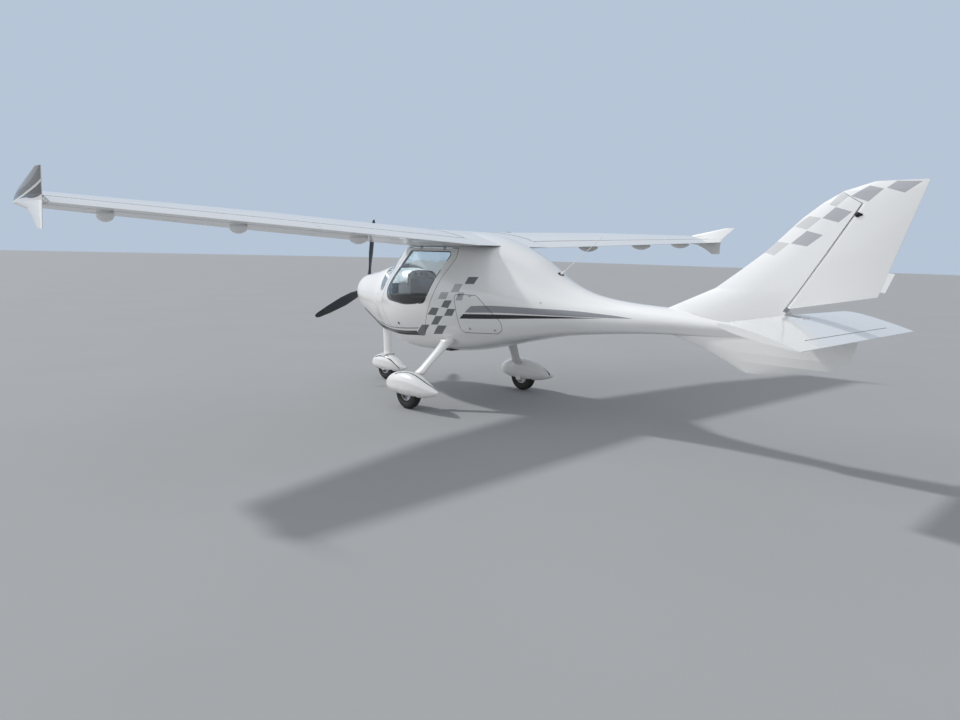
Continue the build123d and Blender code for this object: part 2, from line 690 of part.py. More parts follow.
main_spat = Pos(0, HALF_TRACK, 0) * spat(1, 64, 186)
AXLE_BRACKET = (776, 806)
leg_wires = [
    level_plane(z, y).from_local_coords(even_foil(front, back, thick, 6, 0.4))
    for z, front, back, y, thick in ((720, -85, -215, 440, 62), (310, 55, -45, 776, 44))
]
main_leg = Solid.make_loft(leg_wires, True)
main_leg += block(-36, 36, *AXLE_BRACKET, 130, 312)
main_leg += rod((0, AXLE_BRACKET[1], AXLE_HEIGHT), (0, HALF_TRACK + 44, AXLE_HEIGHT), AXLE_RADIUS)
main_leg = main_leg - hull
main_spat = main_spat - main_leg
main_rim = Pos(0, HALF_TRACK, AXLE_HEIGHT) * rim(RIM_RADIUS, RIM_WIDTH, AXLE_RADIUS + PLAY)
main_tyre = Pos(0, HALF_TRACK, AXLE_HEIGHT) * tyre(TYRE_RADIUS, TYRE_WIDTH, RIM_RADIUS)
for side, name in ((PORT, "left"), (STARBOARD, "right")):
    parts["main_leg_" + name] = mirrored(main_leg, side)
    parts["main_spat_" + name] = mirrored(main_spat, side)
    parts["main_rim_" + name] = mirrored(main_rim, side)
    parts["main_tyre_" + name] = mirrored(main_tyre, side)

# Steered nose gear

FORK_HALF = 62
nose_leg = Solid.make_loft([
    level_plane(690).from_local_coords(even_foil(1620, 1460, 56, 6, 0.4)),
    level_plane(330).from_local_coords(even_foil(1590, 1450, 62, 6, 0.4)),
], True)
nose_leg += block(1470, 1570, -FORK_HALF - 8, FORK_HALF + 8, 308, 332)
for side in (PORT, STARBOARD):
    y0, y1 = sorted((side * FORK_HALF, side * (FORK_HALF + 8)))
    nose_leg += block(NOSE_WHEEL - 28, NOSE_WHEEL + 28, y0, y1, 125, 320)
nose_leg += rod((NOSE_WHEEL, -FORK_HALF, NOSE_AXLE_HEIGHT), (NOSE_WHEEL, FORK_HALF, NOSE_AXLE_HEIGHT), AXLE_RADIUS)
nose_leg += rod((STEERING_AXIS, 0, 680), (STEERING_AXIS, 0, 930), STRUT_RADIUS)
parts["nose_leg"] = nose_leg
nose_spat = Pos(NOSE_WHEEL, 0, 0) * spat(NOSE_SPAT_SCALE, 60, 170) - nose_leg
parts["nose_spat"] = nose_spat
parts["nose_rim"] = Pos(NOSE_WHEEL, 0, NOSE_AXLE_HEIGHT) * rim(RIM_RADIUS - 8, RIM_WIDTH - 6, AXLE_RADIUS + PLAY)
parts["nose_tyre"] = Pos(NOSE_WHEEL, 0, NOSE_AXLE_HEIGHT) * tyre(NOSE_TYRE_RADIUS, NOSE_TYRE_WIDTH, RIM_RADIUS - 8)

mount = rod((STEERING_AXIS, 0, 800), (STEERING_AXIS, 0, 930), STRUT_RADIUS + 12)
mount += block(FIREWALL, STEERING_AXIS, -28, 28, 840, 900)
mount -= rod((STEERING_AXIS, 0, 790), (STEERING_AXIS, 0, 940), STRUT_RADIUS + PLAY)
parts["nose_gear_mount"] = mount

# Propeller. Blade columns: radius, chord, thickness, blade angle
BLADE = [
    (30, 50, 48, 60),
    (145, 54, 46, 55),
    (250, 105, 28, 42),
    (420, 122, 18, 30),
    (640, 98, 12, 21),
    (810, 64, 8, 17),
    (PROP_RADIUS, 34, 5, 16),
]
BLADE_HOLE = 34
blade_wires = []
for radius, chord, thick, angle in BLADE:
    a = math.radians(angle)
    frame = Plane(origin=(0, 0, radius), x_dir=(math.sin(a), -math.cos(a), 0), z_dir=(0, 0, 1))
    section = even_foil(0.45 * chord, -0.55 * chord, thick, max(2, thick * 0.2), 0.42)
    blade_wires.append(frame.from_local_coords(section))
blade = Solid.make_loft(blade_wires, True)
propeller = Pos(PROP_PLANE, 0, PROP_HEIGHT) * (Rot(0, 90, 0) * Cylinder(52, 60))
propeller += rod((1790, 0, PROP_HEIGHT), (PROP_PLANE, 0, PROP_HEIGHT), SHAFT_RADIUS)
SPINNER_ROOM = SPINNER_RADIUS - 4  # inside radius of the spinner
spinner_profile = Wire([
    Line((SPINNER_BASE, 0), (SPINNER_BASE, SPINNER_RADIUS)).edge(),
    Line((SPINNER_BASE, SPINNER_RADIUS), (SPINNER_BASE + 12, SPINNER_RADIUS)).edge(),
    TangentArc((SPINNER_BASE + 12, SPINNER_RADIUS), (SPINNER_TIP, 0), tangent=(1, 0)).edge(),
    Line((SPINNER_TIP, 0), (SPINNER_BASE, 0)).edge(),
])
spinner = Solid.revolve(Face(spinner_profile), 360, Axis.X)
inner_profile = Wire([
    Line((SPINNER_BASE + 6, 0), (SPINNER_BASE + 6, SPINNER_ROOM)).edge(),
    Line((SPINNER_BASE + 6, SPINNER_ROOM), (SPINNER_BASE + 12, SPINNER_ROOM)).edge(),
    TangentArc((SPINNER_BASE + 12, SPINNER_ROOM), (SPINNER_TIP - 14, 0), tangent=(1, 0)).edge(),
    Line((SPINNER_TIP - 14, 0), (SPINNER_BASE + 6, 0)).edge(),
])
spinner -= Solid.revolve(Face(inner_profile), 360, Axis.X)
spinner = Pos(0, 0, PROP_HEIGHT) * spinner
for number in range(3):
    turn = Rot(PROP_FIRST - 90 - 120 * number, 0, 0)
    place = Pos(PROP_PLANE, 0, PROP_HEIGHT) * turn
    propeller += place * blade
    spinner -= place * Pos(0, 0, 100) * Cylinder(BLADE_HOLE, 160)
spinner -= rod((SPINNER_BASE - 5, 0, PROP_HEIGHT), (SPINNER_BASE + 20, 0, PROP_HEIGHT), SHAFT_RADIUS)
parts["propeller"] = propeller
parts["spinner"] = spinner

# Cabin furniture

furniture_room = Solid.make_loft([hull_wire(row, WALL + FIT) for row in HULL if row[0] > -1900])
SEAT_SIDES = (60, 425)
SEAT = [(440, 690), (450, 770, 25), (40, 720, 60), (-150, 1240, 30), (-235, 1225, 30), (-110, 700), (-90, 690)]
for side, name in ((PORT, "left"), (STARBOARD, "right")):
    inner, outer = (side * y for y in SEAT_SIDES)
    seat = slab(SEAT, inner, outer)
    seat += block(-60, 400, side * 90, side * 350, 520, 690)
    parts["seat_" + name] = seat & furniture_room
panel = block(860, 880, -440, 440, 1010, 1240) + block(860, 880, -330, 330, 860, 1010)
panel += slab([(860, 1215), (860, 1240), (1120, 1212), (1120, 1187)], -330, 330)
arch = outline([(-215, 1200), (-215, 1330, 60), (-120, 1380, 90), (120, 1380, 90), (215, 1330, 60), (215, 1200)])
panel += Solid.extrude(cross_plane(860).from_local_coords(Face(arch)), Vector(200, 0, 0))
panel += block(840, 880, -90, 90, 660, 1010)
parts["instrument_panel"] = panel & furniture_room
console = block(60, 1100, -55, 55, 520, 660) + block(560, 700, -45, 45, 650, 720)
console += rod((620, 0, 710), (570, 0, 850), 9) + rod((430, 0, 650), (350, 0, 780), 11)
STICK_AT = 230
PEDALS_AT = (125, 230)
console += rod((560, -STICK_AT, 560), (560, STICK_AT, 560), 13)
for y in (-STICK_AT, STICK_AT):
    console += rod((560, y, 540), (520, y, 880), 11) + rod((523, y, 850), (508, y, 985), 17)
console += rod((1000, -PEDALS_AT[1], 655), (1000, PEDALS_AT[1], 655), 9)
for y in PEDALS_AT:
    for pedal_y in (-y, y):
        console += rod((1000, pedal_y, 655), (965, pedal_y, 750), 8)
        console += block(955, 967, pedal_y - 38, pedal_y + 38, 710, 800)
parts["controls"] = console & furniture_room
parts["bulkhead"] = block(-312, -292, -800, 800, 400, 1150) & furniture_room

# Whip antenna on the spine

WHIP_BASE, WHIP_TIP = (-1206, 0, 1390), (-1703, 0, 1775)
whip = rod(WHIP_BASE, WHIP_TIP, 4, 2)
whip += rod(WHIP_BASE, (-1290, 0, 1455), 18, 7)
parts["antenna"] = whip - hull

for name, shape in parts.items():
    export_step(Pos(AXLE_TO_MIDDLE, 0, 0) * shape, f"parts/{name}.step")
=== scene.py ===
"""Looks of the two-seat ultralight aircraft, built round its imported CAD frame.

Lengths are in metres in the frame's own axes: x forward, y to port, z up. Stations such as at(0, 868, 165)
are the CAD source's millimetres, measured from the main axle.
"""
import math
import random

import bmesh
import bpy
from mathutils import Matrix, Vector
from mathutils.bvhtree import BVHTree


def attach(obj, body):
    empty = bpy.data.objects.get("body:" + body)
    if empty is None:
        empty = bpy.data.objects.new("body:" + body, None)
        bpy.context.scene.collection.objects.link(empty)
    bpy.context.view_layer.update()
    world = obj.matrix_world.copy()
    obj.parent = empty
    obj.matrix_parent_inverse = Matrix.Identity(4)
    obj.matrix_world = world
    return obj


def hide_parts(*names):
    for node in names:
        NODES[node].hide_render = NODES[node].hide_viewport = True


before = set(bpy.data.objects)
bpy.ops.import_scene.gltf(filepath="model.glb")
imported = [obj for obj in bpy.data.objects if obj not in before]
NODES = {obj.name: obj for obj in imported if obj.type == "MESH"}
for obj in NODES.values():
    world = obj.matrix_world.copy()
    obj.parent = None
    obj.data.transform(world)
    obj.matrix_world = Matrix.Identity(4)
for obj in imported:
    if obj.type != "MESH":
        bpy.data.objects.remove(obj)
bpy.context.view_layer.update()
random.seed(7)

AXLE_X = 1.1  # from the frame's origin forward to the main axle
PORT, STARBOARD = 1, -1
SIDES = ((PORT, "left"), (STARBOARD, "right"))
PROP_HUB = (1940, 0, 1140)
MAIN_TYRE_RADIUS, NOSE_TYRE_RADIUS = 0.165, 0.150
MAIN_WHEEL = (0, 868, 165)
NOSE_WHEEL = (1523, 0, 150)
COWL_SEAM = 1166  # station of the joint between cowl and cabin
PANEL_FACE = 860  # station of the panel's aft face
PANEL_LIP = 1108  # height of the panel's lower lip
SEAT_MIDDLE, SEAT_HALF = 242.5, 176

# A door window's corners in side view: station, height and corner radius in millimetres
DOOR_WINDOW = [(485, 1605, 30), (-205, 1605, 30), (82, 1070, 90), (420, 1036, 900), (925, 1080, 90)]

# Heights up a main leg in millimetres, and how far its fairing stands off the leg there in metres
LEG_CUFF = ((345, 0.024), (375, 0.022), (395, 0.014), (420, 0.010), (500, 0.010), (590, 0.013),
            (640, 0.017), (675, 0.026), (700, 0.042))

# Turned fittings in metres: distance along the axis, radius
DOOR_LOCK = [(-0.001, 0.015), (0.002, 0.015), (0.0035, 0.0135), (0.0035, 0.006), (0.001, 0.0055)]
HATCH_LOCK = [(-0.001, 0.012), (0.002, 0.012), (0.003, 0.011), (0.003, 0.003), (0.001, 0.0028)]
STATIC_PORT = [(-0.001, 0.011), (0.0012, 0.011), (0.0016, 0.01), (0.0016, 0.003), (0.0004, 0.0028)]
SWITCH = [(0, 0.007), (0.003, 0.007), (0.004, 0.004), (0.014, 0.0024), (0.016, 0.0012)]

# The camera, solved on the photograph: yaw, pitch and roll in degrees, place in metres
CAMERA_TURN = (-44.2509, -8.3633, 1.5104)
CAMERA_PLACE = (AXLE_X - 5.7282, 5.4383, 1.5926)
CAMERA_LENS = 27.08

# Paint colours
WHITE = (0.82, 0.82, 0.815)
DARK_CHECK = (0.15, 0.157, 0.168)
PALE_CHECK = (0.42, 0.43, 0.45)
FAINT_CHECK = (0.60, 0.60, 0.605)
STRIPE_BLACK = (0.012, 0.013, 0.016)
BAND_GREY = (0.27, 0.28, 0.30)
TRIM_GREY = (0.30, 0.30, 0.31)

# Lines and patches of the livery, as side view (x, z) in metres from the main axle
NOSE_LINE_TOP = [(1.63, 0.925), (1.358, 0.807), (1.026, 0.743), (0.769, 0.751), (0.522, 0.768),
                 (0.258, 0.794)]
NOSE_LINE_LOW = [(x, z - 0.009) for x, z in NOSE_LINE_TOP]
NOSE_BAND_TOP = [(1.63, 0.918), (1.45, 0.838), (1.292, 0.770), (1.084, 0.718), (0.664, 0.726), (0.311, 0.755)]
NOSE_BAND_LOW = [(1.63, 0.888), (1.45, 0.79), (1.292, 0.72), (1.084, 0.675), (0.712, 0.676), (0.311, 0.706)]
GREY_TOP = [(-0.44, 1.074), (-0.535, 1.079), (-0.841, 1.096), (-1.151, 1.097), (-1.45, 1.098),
            (-1.843, 1.088), (-2.172, 1.069)]
GREY_LOW = [(-0.44, 1.007), (-0.535, 1.013), (-0.838, 1.029), (-1.151, 1.036), (-1.454, 1.042),
            (-1.848, 1.054), (-2.172, 1.069)]
BLACK_TOP = [(-0.387, 0.99), (-0.836, 1.013), (-1.15, 1.025), (-1.454, 1.035), (-1.868, 1.048)]
BLACK_LOW = [(-0.387, 0.942), (-0.829, 0.970), (-1.146, 0.995), (-1.453, 1.018), (-1.868, 1.048)]
# The two bands show inside this patch, which slants their fore ends
BAND_CUT = [(-0.33, 0.90), (-0.57, 1.11), (-2.33, 1.11), (-2.33, 0.90)]
DARK_CHECKS = [
    [(0.179, 0.833), (0.055, 0.844), (0.207, 0.718), (0.364, 0.702)],
    [(-0.069, 0.847), (-0.193, 0.854), (-0.082, 0.755), (0.053, 0.742)],
    [(-0.07, 0.945), (-0.175, 0.953), (-0.069, 0.855), (0.033, 0.846)],
    [(-0.033, 1.032), (-0.136, 1.033), (-0.072, 0.952), (0.048, 0.953)],
    [(-0.25, 1.033), (-0.349, 1.037), (-0.295, 0.964), (-0.189, 0.957)],
    [(-0.216, 1.116), (-0.314, 1.122), (-0.258, 1.041), (-0.165, 1.045)],
    [(-0.474, 1.363), (-0.582, 1.367), (-0.549, 1.296), (-0.448, 1.292)],
]
# Three real checks drawn paler than the dark ones: their paler grey is a painted reflection over the checker
# paint
REFLECTION_PALED_CHECKS = [
    [(-0.129, 1.125), (-0.237, 1.131), (-0.273, 1.204), (-0.168, 1.198)],
    [(-0.357, 1.124), (-0.435, 1.129), (-0.459, 1.208), (-0.389, 1.204)],
    [(-0.292, 1.202), (-0.39, 1.207), (-0.425, 1.291), (-0.335, 1.287)],
]
FIN_CHECKS = [
    [(-3.548, 1.82), (-3.666, 1.789), (-3.562, 1.707), (-3.441, 1.728)],
    [(-3.732, 1.984), (-3.845, 1.949), (-3.762, 1.876), (-3.648, 1.909)],
    [(-3.936, 2.125), (-4.03, 2.1), (-3.941, 2.015), (-3.824, 2.057)],
    [(-4.102, 2.148), (-4.255, 2.14), (-4.156, 2.068), (-4.044, 2.104)],
]
FAINT_FIN_CHECKS = [
    [(-3.321, 1.742), (-3.429, 1.728), (-3.321, 1.637), (-3.226, 1.662)],
    [(-3.548, 1.926), (-3.643, 1.909), (-3.547, 1.828), (-3.45, 1.851)],
    [(-3.748, 2.088), (-3.815, 2.06), (-3.731, 1.987), (-3.682, 2.003)],
]

WINGLET_EDGE = [(-0.82, 2.05), (-0.716, 2.015), (-0.51, 1.963), (-0.27, 1.928), (-0.069, 1.912), (0.2, 1.9)]
WINGLET_LINE = [(-0.82, 1.985), (-0.68, 1.949), (-0.498, 1.918), (-0.32, 1.893), (-0.146, 1.87),
                (0.2, 1.84)]
WINGLET_LOW = [(-0.82, 1.91), (-0.674, 1.886), (-0.444, 1.864), (-0.321, 1.872), (-0.146, 1.866),
               (0.2, 1.835)]

# The line over a main spat's shoulder in plan view (x, |y|), and the nose spat's in side view
SPAT_LINE = [(0.146, 0.934), (0.086, 0.922), (0.031, 0.911), (-0.024, 0.905), (-0.091, 0.899), (-0.17, 0.895),
             (-0.262, 0.888), (-0.344, 0.873), (-0.378, 0.862), (-0.43, 0.848)]
NOSE_SPAT_LINE = [(1.22, 0.172), (1.26, 0.198), (1.334, 0.245), (1.408, 0.276), (1.485, 0.291),
                  (1.568, 0.293), (1.652, 0.28), (1.70, 0.262)]


def at(x, y, z):
    """A station in millimetres as a point of the frame."""
    return Vector((x / 1000 + AXLE_X, y / 1000, z / 1000))


# Camera and lamps


def place_camera():
    yaw, pitch, roll = (math.radians(a) for a in CAMERA_TURN)
    forward = Vector((math.cos(pitch) * math.cos(yaw), math.cos(pitch) * math.sin(yaw), math.sin(pitch)))
    right = Vector((math.sin(yaw), -math.cos(yaw), 0))
    up = right.cross(forward)
    turned_right = math.cos(roll) * right + math.sin(roll) * up
    turned_up = -math.sin(roll) * right + math.cos(roll) * up
    data = bpy.data.cameras.new("camera")
    data.lens = CAMERA_LENS
    data.sensor_width = 36
    data.clip_end = 500
    camera = bpy.data.objects.new("camera", data)
    turn = Matrix((turned_right, turned_up, -forward)).transposed().to_4x4()
    camera.matrix_world = Matrix.Translation(CAMERA_PLACE) @ turn
    bpy.context.scene.collection.objects.link(camera)
    bpy.context.scene.camera = camera


def add_sun(name, toward, strength, angle):
    data = bpy.data.lights.new(name, "SUN")
    data.energy = strength
    data.angle = math.radians(angle)
    lamp = bpy.data.objects.new(name, data)
    lamp.rotation_euler = Vector(toward).to_track_quat("-Z", "Y").to_euler()
    bpy.context.scene.collection.objects.link(lamp)


def link_object(name, mesh):
    piece = bpy.data.objects.new(name, mesh)
    bpy.context.scene.collection.objects.link(piece)
    return piece


# Procedural materials


class Paint:
    """A Principled material with helpers for the nodes in front of it.

    Its point is in metres from the main axle, and so are all drawn lines and patches."""

    def __init__(self, name, color, roughness, **sockets):
        self.mat = bpy.data.materials.new(name)
        self.mat.use_nodes = True
        self.tree = self.mat.node_tree
        self.shader = self.tree.nodes["Principled BSDF"]
        self.shader.inputs["Base Color"].default_value = (*color, 1)
        self.shader.inputs["Roughness"].default_value = roughness
        for socket, value in sockets.items():
            self.shader.inputs[socket.replace("_", " ")].default_value = value
        place = self.add("TexCoord").outputs["Object"]
        self.point = self.vector("SUBTRACT", place, (AXLE_X, 0, 0))

    def add(self, kind, inputs=(), **settings):
        node = self.tree.nodes.new("ShaderNode" + kind)
        for name, value in settings.items():
            setattr(node, name, value)
        for key, value in inputs:
            if isinstance(value, bpy.types.NodeSocket):
                self.tree.links.new(value, node.inputs[key])
            else:
                node.inputs[key].default_value = value
        return node

    def math(self, operation, a, b=0.0):
        return self.add("Math", ((0, a), (1, b)), operation=operation).outputs[0]

    def both(self, a, b):
        return self.math("MULTIPLY", a, b)

    def above(self, value, limit):
        return self.math("GREATER_THAN", value, limit)

    def vector(self, operation, a, b):
        node = self.add("VectorMath", ((0, a), (1, b)), operation=operation)
        return node.outputs["Value" if operation == "DOT_PRODUCT" else "Vector"]

    def mix(self, share, a, b):
        inputs = [(0, share)]
        for index, color in ((6, a), (7, b)):
            inputs.append((index, color if isinstance(color, bpy.types.NodeSocket) else (*color, 1)))
        return self.add("Mix", inputs, data_type="RGBA").outputs[2]

    def axes(self, socket=None):
        return self.add("SeparateXYZ", ((0, socket or self.point),)).outputs

    def noise(self, scale, detail=3.0, stretch=(1, 1, 1)):
        place = self.vector("MULTIPLY", self.point, stretch)
        return self.add("TexNoise", (("Vector", place), ("Scale", scale), ("Detail", detail))).outputs[0]

    def waves(self, direction, scale, distortion=0.0):
        inputs = (("Vector", self.point), ("Scale", scale), ("Distortion", distortion))
        return self.add("TexWave", inputs, bands_direction=direction).outputs["Fac"]

    def spread(self, value, low, high, to_low=0.0, to_high=1.0):
        inputs = ((0, value), (1, low), (2, high), (3, to_low), (4, to_high))
        return self.add("MapRange", inputs).outputs[0]

    def color(self, socket):
        self.tree.links.new(socket, self.shader.inputs["Base Color"])

    def rough(self, socket):
        self.tree.links.new(socket, self.shader.inputs["Roughness"])

    def bump(self, height, strength, distance=0.001):
        node = self.add("Bump", (("Height", height), ("Strength", strength), ("Distance", distance)))
        self.tree.links.new(node.outputs[0], self.shader.inputs["Normal"])

    def line_height(self, x, corners):
        """Height at x of a smooth line drawn through corners (x, height)."""
        corners = sorted(corners)
        xs, zs = [c[0] for c in corners], [c[1] for c in corners]
        span = max(zs) - min(zs) or 1.0
        share = self.spread(x, xs[0], xs[-1])
        curve = self.add("FloatCurve", ((0, 1.0), (1, share)))
        points = curve.mapping.curves[0].points
        for _ in range(len(corners) - 2):
            points.new(0.5, 0.5)
        for point, (cx, cz) in zip(points, corners):
            point.location = ((cx - xs[0]) / (xs[-1] - xs[0]), (cz - min(zs)) / span)
            point.handle_type = "AUTO"
        curve.mapping.update()
        return self.spread(curve.outputs[0], 0, 1, min(zs), min(zs) + span)

    def between(self, x, low, high):
        return self.both(self.above(x, low), self.math("LESS_THAN", x, high))

    def band(self, x, z, top, low):
        """1 between two drawn lines, over the stretch they share."""
        inside = self.between(z, self.line_height(x, low), self.line_height(x, top))
        ends = [c[0] for c in top + low]
        return self.both(inside, self.between(x, min(ends), max(ends)))

    def patch(self, corners):
        """1 inside a convex four-sided patch given in side view."""
        area = sum(a[0] * b[1] - b[0] * a[1] for a, b in zip(corners, corners[1:] + corners[:1]))
        least = None
        for (x0, z0), (x1, z1) in zip(corners, corners[1:] + corners[:1]):
            inward = Vector((z0 - z1, 0, x1 - x0)).normalized() * math.copysign(1, area)
            along = self.vector("DOT_PRODUCT", self.point, inward)
            reach = self.math("SUBTRACT", along, inward.dot((x0, 0, z0)))
            least = reach if least is None else self.math("MINIMUM", least, reach)
        return self.above(least, 0.0)

    def any_patch(self, patches):
        found = None
        for corners in patches:
            inside = self.patch(corners)
            found = inside if found is None else self.math("MAXIMUM", found, inside)
        return found

    def outside(self, centre_height=1.1):
        """1 on faces that look away from the cabin's middle."""
        x, y, z = self.axes()
        up = self.math("SUBTRACT", z, centre_height)
        away = self.add("CombineXYZ", ((1, y), (2, up))).outputs[0]
        facing = self.add("TexCoord").outputs["Normal"]
        return self.above(self.vector("DOT_PRODUCT", facing, away), 0.0)


def gelcoat(name):
    """Glossy white gel coat with faint waviness and a little dust low down. Returns it and its white."""
    paint = Paint(name, WHITE, 0.25, Coat_Weight=0.5, Coat_Roughness=0.04, Coat_IOR=1.5)
    wide = paint.noise(1.3, 2)
    white = paint.mix(wide, (0.815, 0.815, 0.81), (0.83, 0.83, 0.825))
    x, y, z = paint.axes()
    low = paint.spread(z, 0.5, 0.1, 0.0, 0.35)
    dust = paint.both(low, paint.spread(paint.noise(9, 5), 0.45, 0.8))
    white = paint.mix(dust, white, (0.50, 0.46, 0.40))
    paint.rough(paint.math("ADD", paint.spread(paint.noise(3, 2), 0.3, 0.7, 0.20, 0.26), dust))
    paint.bump(paint.noise(2.2, 1), 0.08, 0.002)
    return paint, white


def hull_paint():
    """White with the side bands, the checkers and the nose lines; trim grey on the cabin's inner faces. Three
    checks are real checker paint drawn in a paler grey, which is a painted reflection.
    """
    paint, white = gelcoat("white_hull")
    x, y, z = paint.axes()
    # The paler checks: real checks whose washed-out grey is a painted reflection
    color = paint.mix(paint.any_patch(REFLECTION_PALED_CHECKS), white, PALE_CHECK)
    color = paint.mix(paint.any_patch(DARK_CHECKS), color, DARK_CHECK)
    cut = paint.patch(BAND_CUT)
    color = paint.mix(paint.both(cut, paint.band(x, z, GREY_TOP, GREY_LOW)), color, BAND_GREY)
    color = paint.mix(paint.both(cut, paint.band(x, z, BLACK_TOP, BLACK_LOW)), color, STRIPE_BLACK)
    for top, low in ((NOSE_LINE_TOP, NOSE_LINE_LOW), (NOSE_BAND_TOP, NOSE_BAND_LOW)):
        color = paint.mix(paint.band(x, z, top, low), color, STRIPE_BLACK)
    trim = paint.mix(paint.noise(220, 2), TRIM_GREY, (0.36, 0.36, 0.37))
    paint.color(paint.mix(paint.outside(), trim, color))
    return paint.mat


def fin_paint():
    paint, white = gelcoat("white_fin")
    color = paint.mix(paint.any_patch(FAINT_FIN_CHECKS), white, FAINT_CHECK)
    paint.color(paint.mix(paint.any_patch(FIN_CHECKS), color, PALE_CHECK))
    return paint.mat


def winglet_paint():
    """White with the grey and black swooshes on the outboard face."""
    paint, white = gelcoat("white_winglet")
    x, y, z = paint.axes()
    normal = paint.axes(paint.add("TexCoord").outputs["Normal"])
    outboard = paint.above(paint.both(y, normal[1]), 2.0)
    line = paint.line_height(x, WINGLET_LINE)
    color = white
    for height, tone in (
        (paint.line_height(x, WINGLET_LOW), STRIPE_BLACK),
        (paint.math("SUBTRACT", line, 0.004), WHITE),
        (paint.math("ADD", line, 0.008), (0.09, 0.095, 0.10)),
        (paint.line_height(x, WINGLET_EDGE), (0.25, 0.26, 0.275)),
    ):
        color = paint.mix(paint.above(z, height), color, tone)
    paint.color(paint.mix(outboard, white, color))
    return paint.mat


def spat_paint(name, line, width, in_plan):
    """White with the thin black line over the shoulder."""
    paint, white = gelcoat(name)
    x, y, z = paint.axes()
    across = paint.math("ABSOLUTE", y) if in_plan else z
    middle = paint.line_height(x, line)
    edges = (paint.math(operation, middle, width / 2) for operation in ("SUBTRACT", "ADD"))
    ends = [c[0] for c in line]
    drawn = paint.both(paint.between(across, *edges), paint.between(x, min(ends), max(ends)))
    if in_plan:
        normal = paint.axes(paint.add("TexCoord").outputs["Normal"])
        drawn = paint.both(drawn, paint.above(normal[2], 0.1))
    paint.color(paint.mix(drawn, white, STRIPE_BLACK))
    return paint.mat


def plain_paint():
    paint, white = gelcoat("white_plain")
    paint.color(white)
    return paint.mat


def speckled(name, low, high, scale, roughness, bump=0.2, distance=0.0006, stretch=(1, 1, 1), **sockets):
    """Two close tones broken up by noise, with matching roughness and bump."""
    paint = Paint(name, low, roughness, **sockets)
    noise = paint.noise(scale, 5, stretch)
    paint.color(paint.mix(paint.spread(noise, 0.3, 0.7), low, high))
    paint.rough(paint.spread(noise, 0.3, 0.7, roughness * 0.85, min(1.0, roughness * 1.15)))
    paint.bump(noise, bump, distance)
    return paint.mat


def rubber_paint():
    """Tyre rubber: uneven black with fine brownish specks of dust."""
    paint = Paint("tyre_rubber", (0.02, 0.02, 0.02), 0.8)
    noise = paint.noise(35, 6)
    fine = paint.noise(420, 2)
    dark = paint.mix(paint.spread(noise, 0.35, 0.7), (0.014, 0.014, 0.014), (0.040, 0.038, 0.036))
    specks = paint.both(paint.spread(fine, 0.5, 0.8), 0.25)
    paint.color(paint.mix(specks, dark, (0.10, 0.095, 0.085)))
    paint.rough(paint.spread(noise, 0.3, 0.7, 0.7, 0.92))
    paint.bump(fine, 0.25, 0.0006)
    return paint.mat


def window_paint():
    """Clear acrylic that lets the lamps through to the cabin, with fine wiping marks."""
    paint = Paint("window_acrylic", (0.90, 0.95, 0.96), 0.03, IOR=1.4)
    paint.shader.inputs["Transmission Weight"].default_value = 1.0
    paint.rough(paint.spread(paint.noise(30, 4, (1, 1, 4)), 0.35, 0.8, 0.0, 0.07))
    clear = paint.add("BsdfTransparent", (("Color", (0.88, 0.93, 0.94, 1)),)).outputs[0]
    lamp_ray = paint.add("LightPath").outputs["Is Shadow Ray"]
    output = paint.tree.nodes["Material Output"]
    mixed = paint.add("MixShader", ((0, lamp_ray), (1, paint.shader.outputs[0]), (2, clear))).outputs[0]
    paint.tree.links.new(mixed, output.inputs["Surface"])
    return paint.mat


def cloth_paint(name, low, high, thread=900):
    """Woven cloth: crossed fine threads over broad fading."""
    paint = Paint(name, low, 0.9, Sheen_Weight=0.25, Sheen_Roughness=0.5)
    weave = paint.both(*(paint.waves(direction, thread / 20, 0.6) for direction in ("X", "Z")))
    tone = paint.mix(paint.spread(paint.noise(7, 4), 0.3, 0.7), low, high)
    paint.color(paint.mix(paint.both(weave, 0.35), tone, [c * 1.7 for c in high]))
    paint.bump(weave, 0.35, 0.0008)
    return paint.mat


def metal_paint(name, low, high, roughness, grain=(1, 1, 12)):
    return speckled(name, low, high, 90, roughness, 0.08, 0.0003, grain, Metallic=1.0)


def lens_paint(name, color):
    paint = Paint(name, color, 0.08, IOR=1.5, Coat_Weight=1.0)
    ribs = paint.waves("Z", 60.0)
    paint.color(paint.mix(paint.both(ribs, 0.4), color, [min(1, c * 1.8 + 0.05) for c in color]))
    paint.bump(ribs, 0.3, 0.0006)
    return paint.mat


def mesh_paint():
    """Black woven wire: a fine grid of pale crossings over a near-black gap, which is painted shade of the
    opening behind the wire.
    """
    paint = Paint("intake_mesh", (0.01, 0.01, 0.01), 0.6)
    waves = [paint.waves(direction, 90.0) for direction in ("Y", "Z")]
    wires = paint.above(paint.math("MAXIMUM", *waves), 0.86)
    paint.color(paint.mix(wires, (0.004, 0.004, 0.004), (0.09, 0.09, 0.095)))
    paint.bump(wires, 0.5, 0.0008)
    return paint.mat


def screen_paint():
    """Dark display glass with a faint smear."""
    paint = Paint("display_glass", (0.05, 0.06, 0.09), 0.08, Coat_Weight=1.0)
    smear = paint.noise(18, 4, (1, 1, 3))
    paint.color(paint.mix(paint.spread(smear, 0.4, 0.8), (0.05, 0.06, 0.095), (0.08, 0.095, 0.14)))
    paint.rough(paint.spread(smear, 0.3, 0.8, 0.06, 0.2))
    return paint.mat


def panel_paint():
    """White moulded panel, dark below its lip where the footwell begins."""
    paint = Paint("panel_white", (0.8, 0.8, 0.79), 0.3)
    grain = paint.noise(180, 5)
    white = paint.mix(grain, (0.78, 0.785, 0.78), (0.83, 0.83, 0.82))
    dark = paint.mix(grain, (0.03, 0.03, 0.033), (0.055, 0.055, 0.06))
    height = paint.axes()[2]
    paint.color(paint.mix(paint.above(height, PANEL_LIP / 1000), dark, white))
    paint.rough(paint.spread(grain, 0.3, 0.7, 0.26, 0.36))
    paint.bump(grain, 0.1, 0.0004)
    return paint.mat


